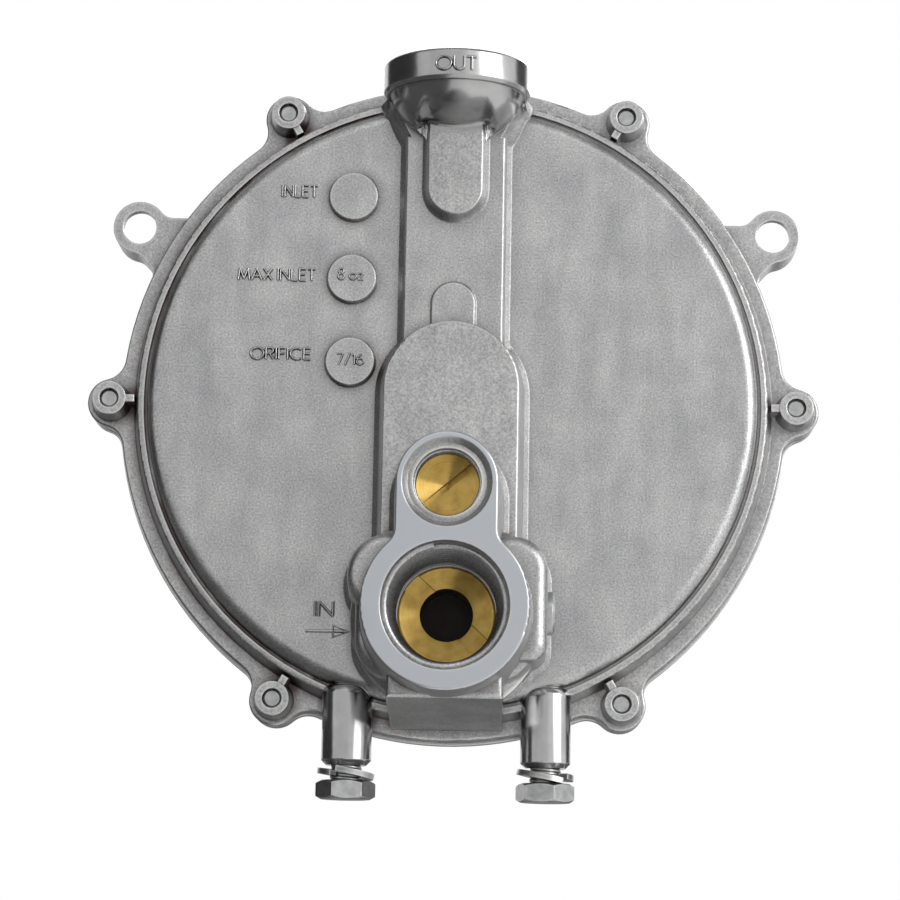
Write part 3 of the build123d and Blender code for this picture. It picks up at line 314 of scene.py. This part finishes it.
def moulded_rubber():
    """Nitrile rubber moulded over fabric: near black and matt, with a faint woven relief and grey bloom."""
    material, tree, shader = new_material("moulded_rubber", **{"Roughness": 0.62, "Specular IOR Level": 0.4})
    place = add_node(tree, "ShaderNodeTexCoord").outputs["Object"]
    bloom = add_node(tree, "ShaderNodeTexNoise", inputs={"Scale": 1 / (3 * MM), "Detail": 5.0}, links={"Vector": place})
    tone = add_node(tree, "ShaderNodeMix", {"data_type": "RGBA"},
                    {"A": linear("#151516"), "B": linear("#343434")}, {"Factor": bloom.outputs[0]})
    tree.links.new(tone.outputs["Result"], shader.inputs["Base Color"])
    # Fabric of about 3 threads a millimetre
    weave = add_node(tree, "ShaderNodeTexNoise", inputs={"Scale": 1 / (0.35 * MM), "Detail": 1.0},
                     links={"Vector": place})
    relief = add_node(tree, "ShaderNodeBump", inputs={"Strength": 0.4, "Distance": 0.05 * MM},
                      links={"Height": weave.outputs[0]})
    tree.links.new(relief.outputs[0], shader.inputs["Normal"])
    return material


# Width of the worn edges with their painted highlight and radius of the rounded ones, in mm: less on the small letters
# and threads
cast = die_cast_aluminium("die_cast_aluminium", 0.9, 0.35)
cast_letters = die_cast_aluminium("die_cast_aluminium_letters", 0.08, 0.08)
adjuster_brass = turned_brass("turned_brass_adjuster", ADJUST_Z)
seat_brass = turned_brass("turned_brass_seat", INLET_Z)
button_brass = turned_brass("turned_brass_button", DISC_Z)
zinc = zinc_plated_steel()
sheet = stamped_sheet_aluminium()
rubber = moulded_rubber()
finishes = {
    "front_body": cast, "rear_cover": cast,
    "diaphragm_membrane": rubber, "valve_pad": rubber, "orifice_seal": rubber,
    "diaphragm_front_plate": sheet, "diaphragm_rear_plate": sheet, "diaphragm_post": sheet,
    "orifice_seat": seat_brass, "adjusting_screw": adjuster_brass, "primer_button": button_brass,
}
for name, node in nodes.items():
    node.data.materials.clear()
    node.data.materials.append(finishes.get(name, zinc))


def dress_housing(x, y, z):
    """Where a point of the front housing goes, in mm: the inlet bore gets the taper of its pipe thread and the
    adjuster's bore a flatter mouth, the inlet block's underside is flat, the round pads stand higher on a wider
    foot, the neck's upper corners end at the collar's wall, and the bowl is shallower over the nose."""
    if INLET_MOUTH_Y - 0.1 < y < INLET_FLOOR_Y + 0.1:
        reach = math.hypot(x, z - INLET_Z)
        if abs(reach - INLET_R) < 0.05:
            along = (INLET_FLOOR_Y - y) / (INLET_FLOOR_Y - INLET_MOUTH_Y)
            grow = (INLET_DEEP_R + (INLET_MOUTH_R - INLET_DEEP_R) * along) / reach
            x, z = x * grow, INLET_Z + (z - INLET_Z) * grow
    if abs(y - ADJUST_STEP_Y) < 0.2 and abs(math.hypot(x, z - ADJUST_Z) - ADJUST_R) < 0.05:
        y = ADJUST_CONE_Y
    if BLOCK_Y < y < DOME_Y - 0.5 and abs(x) < BLOCK_X - 0.1 and z < BLOCK_LOW_Z:
        z = max(z, BLOCK_LOW_Z - (y - BLOCK_SLOPE_Y) * BLOCK_SLOPE)
    row = min(PAD_ROWS, key=lambda level: abs(z - level))
    from_pad = math.hypot(x - PAD_X, z - row)
    if DOME_Y - 2.0 < y < DOME_Y + 0.1 and 1.0 < from_pad < PAD_R + 0.3:
        if y < DOME_Y - 0.4:
            y -= PAD_LIFT
        elif from_pad > PAD_R - 0.6:
            x, z = PAD_X + (x - PAD_X) * PAD_FOOT_R / from_pad, row + (z - row) * PAD_FOOT_R / from_pad
    from_outlet = math.hypot(x, y - OUTLET_Y)
    at_neck = NECK_LOW_Z < z < NECK_TOP_Z and NECK_INNER_X < abs(x) < NECK_OUTER_X and y < NECK_FRONT_Y
    if at_neck and from_outlet > COLLAR_R + 0.1:
        x, y = x * NECK_TUCK_R / from_outlet, OUTLET_Y + (y - OUTLET_Y) * NECK_TUCK_R / from_outlet
    if y < DOME_Y - 5.5 and BOWL_LOW_Z < z < COLLAR_Z and abs(x) < BOWL_FLAT_X + 0.5:
        near = min(max((BOWL_FLAT_X - abs(x)) / BOWL_BLEND, 0.0), 1.0)
        near = near * near * (3 - 2 * near)
        z = COLLAR_Z - (COLLAR_Z - z) * (1 - BOWL_FLATNESS * near)
    return x, y, z


def smooth_shell(node, name, body, reshape=None):
    """A piece that replaces a CAD node with a merged copy of its mesh, whose curved faces shade smoothly."""
    mesh = nodes[node].data.copy()
    for layer in [layer for layer in mesh.attributes if layer.name in ("custom_normal", "sharp_edge", "sharp_face")]:
        mesh.attributes.remove(layer)
    shell = bmesh.new()
    shell.from_mesh(mesh)
    bmesh.ops.remove_doubles(shell, verts=shell.verts, dist=0.001 * MM)
    if reshape:
        for vertex in shell.verts:
            vertex.co = Vector(reshape(*(vertex.co / MM))) * MM
    for face in shell.faces:
        face.smooth = True
    shell.to_mesh(mesh)
    shell.free()
    mesh.set_sharp_from_angle(angle=SHARP_ANGLE)
    holder = bpy.data.objects.new(name, mesh)
    bpy.context.scene.collection.objects.link(holder)
    weighted = holder.modifiers.new("even_shading", "WEIGHTED_NORMAL")
    weighted.keep_sharp = True
    finished = bpy.data.meshes.new_from_object(holder.evaluated_get(bpy.context.evaluated_depsgraph_get()))
    holder.modifiers.remove(weighted)
    holder.data = finished
    finished.name = name
    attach(holder, body)
    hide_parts(node)


smooth_shell("front_body", "front_housing_casting", "housing", dress_housing)
smooth_shell("rear_cover", "rear_cover_casting", "housing")
smooth_shell("orifice_seat", "turned_orifice_seat", "housing")
smooth_shell("adjusting_screw", "turned_adjusting_screw", "adjuster")
smooth_shell("primer_button", "turned_primer_button", "primer")
for plated in ("cover_screws", "left_bracket_bolt", "right_bracket_bolt", "left_split_washer",
               "right_split_washer", "side_port_plug"):
    smooth_shell(plated, "plated_" + plated, "housing")


def new_tree(name, sizes):
    """An empty geometry tree with named inputs, given as {name: (kind of socket, value)}, and its input node."""
    tree = bpy.data.node_groups.new(name, "GeometryNodeTree")
    tree.interface.new_socket("Geometry", in_out="INPUT", socket_type="NodeSocketGeometry")
    for key, (kind, value) in sizes.items():
        socket = tree.interface.new_socket(key, in_out="INPUT", socket_type=kind)
        if value is not None:
            socket.default_value = value
    tree.interface.new_socket("Geometry", in_out="OUTPUT", socket_type="NodeSocketGeometry")
    return tree, add_node(tree, "NodeGroupInput")


def ridge_tree():
    """A ridge with sloping sides along a path: a thread on its helix, or a stroke of a cast letter. Sink is how
    far its foot lies under the path, and Turn swings it round the path."""
    tree, given = new_tree("cast_ridge", {
        "Foot Width": ("NodeSocketFloat", 1 * MM), "Top Width": ("NodeSocketFloat", 0.5 * MM),
        "Height": ("NodeSocketFloat", 0.5 * MM), "Sink": ("NodeSocketFloat", 0.1 * MM),
        "Turn": ("NodeSocketFloat", 0.0), "Finish": ("NodeSocketMaterial", None)})
    whole = add_node(tree, "ShaderNodeMath", {"operation": "ADD"},
                     links={0: given.outputs["Height"], 1: given.outputs["Sink"]})
    section = add_node(tree, "GeometryNodeCurvePrimitiveQuadrilateral", {"mode": "TRAPEZOID"}, {"Offset": 0.0},
                       {"Bottom Width": given.outputs["Foot Width"], "Top Width": given.outputs["Top Width"],
                        "Height": whole.outputs[0]})
    middle = add_node(tree, "ShaderNodeMath", {"operation": "SUBTRACT"},
                      links={0: given.outputs["Height"], 1: given.outputs["Sink"]})
    half = add_node(tree, "ShaderNodeMath", {"operation": "MULTIPLY"}, {1: 0.5}, {0: middle.outputs[0]})
    lift = add_node(tree, "ShaderNodeCombineXYZ", links={"Y": half.outputs[0]})
    lifted = add_node(tree, "GeometryNodeTransform",
                      links={"Geometry": section.outputs[0], "Translation": lift.outputs[0]})
    swing = add_node(tree, "ShaderNodeCombineXYZ", links={"Z": given.outputs["Turn"]})
    swung = add_node(tree, "GeometryNodeTransform",
                     links={"Geometry": lifted.outputs[0], "Rotation": swing.outputs[0]})
    upright = add_node(tree, "GeometryNodeSetCurveNormal", {"mode": "Z_UP"},
                       links={"Curve": given.outputs["Geometry"]})
    ridge = add_node(tree, "GeometryNodeCurveToMesh", inputs={"Fill Caps": True},
                     links={"Curve": upright.outputs[0], "Profile Curve": swung.outputs[0]})
    real = add_node(tree, "GeometryNodeRealizeInstances", links={"Geometry": ridge.outputs[0]})
    dressed = add_node(tree, "GeometryNodeSetMaterial",
                       links={"Geometry": real.outputs[0], "Material": given.outputs["Finish"]})
    add_node(tree, "NodeGroupOutput", links={"Geometry": dressed.outputs[0]})
    return tree


def thread_tree(ridge):
    """A screw thread round Z from 0 up to its length, whose ridge dies away at both ends. Its foot runs on the
    bore's or the bolt's wall, from Radius to End Radius. Outward is 1 on a bolt and -1 in a bore."""
    tree, given = new_tree("screw_thread", {
        "Radius": ("NodeSocketFloat", 10 * MM), "End Radius": ("NodeSocketFloat", 10 * MM),
        "Pitch": ("NodeSocketFloat", 1 * MM), "Length": ("NodeSocketFloat", 10 * MM),
        "Height": ("NodeSocketFloat", 0.4 * MM), "Outward": ("NodeSocketFloat", 1.0),
        "Finish": ("NodeSocketMaterial", None)})
    turns = add_node(tree, "ShaderNodeMath", {"operation": "DIVIDE"},
                     links={0: given.outputs["Length"], 1: given.outputs["Pitch"]})
    helix = add_node(tree, "GeometryNodeCurveSpiral", inputs={"Resolution": 72},
                     links={"Rotations": turns.outputs[0], "Start Radius": given.outputs["Radius"],
                            "End Radius": given.outputs["End Radius"], "Height": given.outputs["Length"]})
    along = add_node(tree, "GeometryNodeSplineParameter")
    left = add_node(tree, "ShaderNodeMath", {"operation": "SUBTRACT"}, {0: 1.0}, {1: along.outputs["Factor"]})
    to_end = add_node(tree, "ShaderNodeMath", {"operation": "MINIMUM"},
                      links={0: along.outputs["Factor"], 1: left.outputs[0]})
    fade = add_node(tree, "ShaderNodeMapRange", inputs={"From Max": 0.06, "To Min": 0.02},
                    links={"Value": to_end.outputs[0]})
    faded = add_node(tree, "GeometryNodeSetCurveRadius", links={"Curve": helix.outputs[0], "Radius": fade.outputs[0]})
    # The ridge takes most of the pitch at its foot, and a narrow crest
    foot = add_node(tree, "ShaderNodeMath", {"operation": "MULTIPLY"}, {1: 0.86}, {0: given.outputs["Pitch"]})
    top = add_node(tree, "ShaderNodeMath", {"operation": "MULTIPLY"}, {1: 0.06}, {0: given.outputs["Pitch"]})
    sink = add_node(tree, "ShaderNodeMath", {"operation": "MULTIPLY"}, {1: 0.1}, {0: given.outputs["Height"]})
    turn = add_node(tree, "ShaderNodeMath", {"operation": "MULTIPLY"}, {1: math.pi / 2}, {0: given.outputs["Outward"]})
    body = add_node(tree, "GeometryNodeGroup", {"node_tree": ridge},
                    links={"Geometry": faded.outputs[0], "Foot Width": foot.outputs[0], "Top Width": top.outputs[0],
                           "Height": given.outputs["Height"], "Sink": sink.outputs[0], "Turn": turn.outputs[0],
                           "Finish": given.outputs["Finish"]})
    add_node(tree, "NodeGroupOutput", links={"Geometry": body.outputs[0]})
    return tree


def grown_mesh(tree, source, values):
    """The plain mesh that a geometry tree makes from a curve or a mesh, with its inputs set by identifier."""
    holder = bpy.data.objects.new(tree.name, source)
    bpy.context.scene.collection.objects.link(holder)
    modifier = holder.modifiers.new("shape", "NODES")
    modifier.node_group = tree
    for item in tree.interface.items_tree:
        if item.in_out == "INPUT" and item.name in values:
            modifier[item.identifier] = values[item.name]
    evaluated = holder.evaluated_get(bpy.context.evaluated_depsgraph_get())
    mesh = bpy.data.meshes.new_from_object(evaluated)
    holder.modifiers.remove(modifier)
    bpy.data.objects.remove(holder)
    return mesh


def add_piece(name, mesh, body):
    """Puts a finished mesh into the scene as a named piece that rides on a body."""
    piece = bpy.data.objects.new(name, mesh)
    mesh.name = name
    bpy.context.scene.collection.objects.link(piece)
    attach(piece, body)


ridge = ridge_tree()
thread = thread_tree(ridge)
TO_FRONT = Matrix.Rotation(math.radians(90), 4, "X")
PIPE_PITCH, PIPE_HEIGHT = 1.814, 1.2


def cut_thread(name, place, turn, slot, finish, **sizes):
    """A thread as a piece: its start in mm, the turn that lays +Z along its axis, and its sizes in mm."""
    values = {key.replace("_", " ").title(): size * MM for key, size in sizes.items() if key != "outward"}
    values["Outward"] = sizes["outward"]
    values["Finish"] = finish
    mesh = grown_mesh(thread, bpy.data.meshes.new(name), values)
    mesh.transform(Matrix.Translation(Vector(place) * MM) @ turn)
    add_piece(name, mesh, "housing")


# Pipe threads of 14 to the inch, the fine thread round the adjusting screw, and the bolts' bare threads
cut_thread("inlet_thread", (0, INLET_FLOOR_Y - 0.1, INLET_Z), TO_FRONT, "cast_aluminium", cast_letters,
           radius=INLET_DEEP_R, end_radius=INLET_MOUTH_R, pitch=PIPE_PITCH, length=14.0, height=PIPE_HEIGHT,
           outward=-1.0)
cut_thread("outlet_thread", (0, OUTLET_Y, 24.7), Matrix(), "cast_aluminium", cast_letters,
           radius=OUTLET_R, end_radius=OUTLET_R, pitch=PIPE_PITCH, length=7.1, height=PIPE_HEIGHT, outward=-1.0)
cut_thread("adjusting_thread", (0, ADJUST_SEAT_Y, ADJUST_Z), TO_FRONT, "cast_aluminium", cast_letters,
           radius=ADJUST_R, end_radius=ADJUST_R, pitch=1.0, length=4.1, height=0.5, outward=-1.0)
for side, x in (("left", -BRACKET_X), ("right", BRACKET_X)):
    cut_thread(side + "_bolt_thread", (x, BRACKET_Y, BRACKET_FACE_Z - 3.15), Matrix(), "zinc_steel", zinc,
               radius=BOLT_R, end_radius=BOLT_R, pitch=1.27, length=3.1, height=0.3, outward=1.0)


def arc(x, y, rx, ry, start, end, steps=20):
    """Points on an elliptic arc, in degrees."""
    turns = [math.radians(start + (end - start) * i / steps) for i in range(steps + 1)]
    return [(x + rx * math.cos(t), y + ry * math.sin(t)) for t in turns]


# Plain single-stroke letters and figures, one unit high: width and strokes
STROKES = {
    "A": (0.8, [[(0, 0), (0.4, 1)], [(0.4, 1), (0.8, 0)], [(0.14, 0.33), (0.66, 0.33)]]),
    "C": (0.84, [arc(0.48, 0.5, 0.48, 0.5, 48, 312)]),
    "E": (0.5, [[(0, 0), (0, 1)], [(0, 1), (0.5, 1)], [(0, 0.52), (0.46, 0.52)], [(0, 0), (0.5, 0)]]),
    "F": (0.46, [[(0, 0), (0, 1)], [(0, 1), (0.46, 1)], [(0, 0.52), (0.42, 0.52)]]),
    "I": (0.06, [[(0.03, 0), (0.03, 1)]]),
    "L": (0.46, [[(0, 0), (0, 1)], [(0, 0), (0.46, 0)]]),
    "M": (0.9, [[(0, 0), (0.12, 1)], [(0.12, 1), (0.45, 0.08)], [(0.45, 0.08), (0.78, 1)], [(0.78, 1), (0.9, 0)]]),
    "N": (0.72, [[(0, 0), (0, 1)], [(0, 1), (0.72, 0)], [(0.72, 0), (0.72, 1)]]),
    "O": (0.98, [arc(0.49, 0.5, 0.49, 0.5, 0, 360, 32)]),
    "R": (0.56, [[(0, 0), (0, 1)], [(0, 1), (0.28, 1)], arc(0.28, 0.75, 0.26, 0.25, 90, -90), [(0.28, 0.5), (0, 0.5)],
                 [(0.26, 0.5), (0.56, 0)]]),
    "T": (0.6, [[(0, 1), (0.6, 1)], [(0.3, 1), (0.3, 0)]]),
    "U": (0.64, [[(0, 1), (0, 0.32)], arc(0.32, 0.32, 0.32, 0.32, 180, 360), [(0.64, 0.32), (0.64, 1)]]),
    "X": (0.66, [[(0, 0), (0.66, 1)], [(0, 1), (0.66, 0)]]),
    "o": (0.56, [arc(0.28, 0.28, 0.28, 0.28, 0, 360, 24)]),
    "z": (0.42, [[(0, 0.56), (0.42, 0.56)], [(0.42, 0.56), (0, 0)], [(0, 0), (0.42, 0)]]),
    "1": (0.2, [[(0, 0.8), (0.2, 1)], [(0.2, 1), (0.2, 0)]]),
    "6": (0.54, [arc(0.27, 0.28, 0.27, 0.28, 0, 360, 24), [(0.01, 0.36), (0.1, 0.66), (0.38, 1)]]),
    "7": (0.5, [[(0, 1), (0.5, 1)], [(0.5, 1), (0.14, 0)]]),
    "8": (0.5, [arc(0.25, 0.76, 0.2, 0.24, 0, 360, 24), arc(0.25, 0.27, 0.25, 0.27, 0, 360, 24)]),
    "/": (0.4, [[(0, -0.05), (0.4, 1.05)]]),
    " ": (0.1, []),
}
LETTER_GAP = 0.17
STROKE_W = 0.74
PAD_STROKE_W = 0.58


def word_strokes(text, x0, x1, z0, z1, thick, rise=0.0):
    """The strokes of a word fitted into a box of the front face, as points in mm across, up and out."""
    high = z1 - z0 - thick
    widths = [STROKES[letter][0] for letter in text]
    stretch = (x1 - x0 - thick) / (sum(widths) + LETTER_GAP * (len(text) - 1))
    strokes, pen = [], x0 + thick / 2
    for letter, width in zip(text, widths):
        for line in STROKES[letter][1]:
            strokes.append([(pen + x * stretch, z0 + thick / 2 + y * high, rise) for x, y in line])
        pen += (width + LETTER_GAP) * stretch
    return strokes


def stroke_mesh(name, strokes, thick):
    """Raised strokes as one mesh that lies in XY and stands up along Z, in metres."""
    curve = bpy.data.curves.new(name, "CURVE")
    curve.dimensions = "3D"
    for line in strokes:
        closed = math.dist(line[0], line[-1]) < 0.01
        points = line[:-1] if closed else line
        spline = curve.splines.new("POLY")
        spline.points.add(len(points) - 1)
        spline.use_cyclic_u = closed
        for point, (x, y, z) in zip(spline.points, points):
            point.co = (x * MM, y * MM, z * MM, 1.0)
    return grown_mesh(ridge, curve, {
        "Foot Width": thick * MM, "Top Width": thick * 0.25 * MM, "Height": thick * 0.85 * MM, "Sink": 0.02 * MM,
        "Turn": math.pi, "Finish": cast_letters})


# Plain words and figures cast on the dome and its pads, each with its box: left, right, bottom and top
DOME_WORDS = (("INLET", -38.5, -30.0, 4.5, 7.8), ("MAX INLET", -47.6, -30.0, -14.3, -11.0),
              ("ORIFICE", -44.4, -30.6, -31.9, -28.7), ("IN", -29.0, -24.3, -87.9, -84.0))
PAD_WORDS = (("8 oz", -25.6, -19.5, -14.2, -11.2), ("7/16", -25.4, -19.1, -33.1, -30.1))
# Arrow under IN: its shaft, its head, and a stroke that fills the head
ARROW = [[(-30.5, -90.7, 0), (-24.6, -90.7, 0)],
         [(-24.6, -92.0, 0), (-21.2, -90.7, 0), (-24.6, -89.4, 0), (-24.6, -92.0, 0)],
         [(-24.3, -90.7, 0), (-22.2, -90.7, 0)]]
for name, boxes, thick, rise, extra in (("dome_words", DOME_WORDS, STROKE_W, 0.0, ARROW),
                                        ("pad_words", PAD_WORDS, PAD_STROKE_W, PAD_RISE, [])):
    strokes = [line for box in boxes for line in word_strokes(*box, thick, rise)] + extra
    words = stroke_mesh(name, strokes, thick)
    words.transform(Matrix.Translation((0, DOME_Y * MM, 0)) @ TO_FRONT)
    add_piece(name, words, "housing")

# The word on the collar follows its round wall
collar_word = stroke_mesh("collar_word", word_strokes("OUT", -4.7, 4.7, 27.6, 31.2, STROKE_W), STROKE_W)
for vertex in collar_word.vertices:
    across, up, out = vertex.co
    turn = across / (COLLAR_R * MM)
    reach = COLLAR_R * MM + out
    vertex.co = (reach * math.sin(turn), OUTLET_Y * MM - reach * math.cos(turn), up)
add_piece("collar_word", collar_word, "housing")

# Photograph's camera: below the object's middle, turned up at it, slightly rolled
AIM = Vector((0, -17 * MM, DISC_Z * MM))
DISTANCE = 662 * MM
PITCH = math.radians(10.35)
YAW = math.radians(-1.0)
ROLL = math.radians(-1.062)
FOCAL_PX = 3037
IMAGE_PX = 900
SHIFT_PX = (-2.1, -47.4)
FLOOR_Z = -0.26
FLOOR_HALF = 4.0
CARD_LIFT = 0.004


def place_camera():
    """The photograph's camera, as it was fitted to the casting's bosses, ears, ports and bolts."""
    forward = Vector((math.sin(YAW) * math.cos(PITCH), math.cos(YAW) * math.cos(PITCH), math.sin(PITCH)))
    right = forward.cross(Vector((0, 0, 1))).normalized()
    up = right.cross(forward)
    rolled_right = right * math.cos(ROLL) - up * math.sin(ROLL)
    rolled_up = up * math.cos(ROLL) + right * math.sin(ROLL)
    data = bpy.data.cameras.new("photo_camera")
    data.sensor_width = 36
    data.lens = FOCAL_PX / IMAGE_PX * data.sensor_width
    data.shift_x = SHIFT_PX[0] / IMAGE_PX
    data.shift_y = SHIFT_PX[1] / IMAGE_PX
    data.clip_start = 0.05
    camera = bpy.data.objects.new("photo_camera", data)
    bpy.context.scene.collection.objects.link(camera)
    turn = Matrix((rolled_right, rolled_up, -forward)).transposed()
    camera.matrix_world = Matrix.Translation(AIM - forward * DISTANCE) @ turn.to_4x4()
    bpy.context.scene.camera = camera


def from_object(azimuth, elevation, distance):
    """A place seen from the object's middle: azimuth 0 is straight ahead of its face and 90 is on its right."""
    a, e = math.radians(azimuth), math.radians(elevation)
    return AIM + distance * Vector((math.sin(a) * math.cos(e), -math.cos(a) * math.cos(e), math.sin(e)))


def area_lamp(name, azimuth, elevation, distance, size, watts):
    """A soft square lamp that points at the object."""
    data = bpy.data.lights.new(name, "AREA")
    data.size = size
    data.energy = watts
    lamp = bpy.data.objects.new(name, data)
    lamp.location = from_object(azimuth, elevation, distance)
    lamp.rotation_euler = (AIM - lamp.location).to_track_quat("-Z", "Y").to_euler()
    lamp.visible_camera = False
    bpy.context.scene.collection.objects.link(lamp)


def studio_card(name, place, width, height, tone, level=False):
    """A card of one plain tone that only reflections see, as a photographer sets up to give bright metal its
    dark and grey parts. It faces the object, or lies level."""
    mesh = bpy.data.meshes.new(name)
    x, y = width / 2, height / 2
    mesh.from_pydata([(-x, -y, 0), (x, -y, 0), (x, y, 0), (-x, y, 0)], [], [(0, 1, 2, 3)])
    turn = Matrix() if level else (AIM - place).to_track_quat("-Z", "Y").to_matrix().to_4x4()
    mesh.transform(Matrix.Translation(place) @ turn)
    card = bpy.data.objects.new(name, mesh)
    bpy.context.scene.collection.objects.link(card)
    material = bpy.data.materials.new(name)
    material.use_nodes = True
    tree = material.node_tree
    tree.nodes.clear()
    glow = add_node(tree, "ShaderNodeEmission", inputs={"Color": (1, 1, 1, 1), "Strength": tone})
    add_node(tree, "ShaderNodeOutputMaterial", links={"Surface": glow.outputs[0]})
    material.cycles.emission_sampling = "NONE"
    mesh.materials.append(material)
    card.visible_camera = card.visible_diffuse = card.visible_shadow = card.visible_transmission = False


def light_studio():
    """A soft key from the right, fill from above and behind, and a white world that lights at half strength.
    A pale card in front and dark ones at the left, below, above and behind on the right shape the reflections."""
    area_lamp("key_lamp", 55, 16, 1.3, 0.8, 7)
    area_lamp("top_lamp", -12, 62, 1.1, 0.5, 2.5)
    area_lamp("back_lamp", 170, 35, 1.1, 0.7, 6)
    studio_card("front_card", from_object(-24, 12, 1.5), 2.2, 1.6, 0.8)
    studio_card("left_card", from_object(-102, 5, 1.0), 1.5, 1.6, 0.05)
    studio_card("low_card", Vector((-0.6, -0.5, FLOOR_Z + CARD_LIFT)), 1.1, 1.2, 0.12, level=True)
    studio_card("rear_low_card", Vector((-0.2, 0.6, FLOOR_Z + CARD_LIFT)), 1.2, 1.0, 0.14, level=True)
    studio_card("high_card", from_object(0, 85, 0.9), 2.0, 1.4, 0.3)
    studio_card("right_card", from_object(122, 0, 1.2), 0.7, 1.6, 0.08)
    world = bpy.data.worlds.new("studio")
    world.use_nodes = True
    tree = world.node_tree
    tree.nodes.clear()
    path = add_node(tree, "ShaderNodeLightPath")
    seen = add_node(tree, "ShaderNodeMath", {"operation": "MAXIMUM"},
                    links={0: path.outputs["Is Camera Ray"], 1: path.outputs["Is Transmission Ray"]})
    mirrored = add_node(tree, "ShaderNodeMath", {"operation": "MAXIMUM"},
                        links={0: seen.outputs[0], 1: path.outputs["Is Glossy Ray"]})
    strength = add_node(tree, "ShaderNodeMapRange", inputs={"To Min": 0.5, "To Max": 1.0},
                        links={"Value": mirrored.outputs[0]})
    sky = add_node(tree, "ShaderNodeBackground", inputs={"Color": (1, 1, 1, 1)},
                   links={"Strength": strength.outputs[0]})
    add_node(tree, "ShaderNodeOutputWorld", links={"Surface": sky.outputs[0]})
    bpy.context.scene.world = world


def lay_floor():
    """A plain, pale, matt painted floor, below the photograph's frame."""
    mesh = bpy.data.meshes.new("floor")
    half, z = FLOOR_HALF, FLOOR_Z
    mesh.from_pydata([(-half, -half, z), (half, -half, z), (half, half, z), (-half, half, z)], [], [(0, 1, 2, 3)])
    floor = bpy.data.objects.new("floor", mesh)
    bpy.context.scene.collection.objects.link(floor)
    material = new_material("painted_floor", **{"Base Color": linear("#F4F4F3"), "Roughness": 0.8})[0]
    mesh.materials.append(material)


place_camera()
light_studio()
lay_floor()
bpy.context.scene.view_settings.view_transform = "Standard"
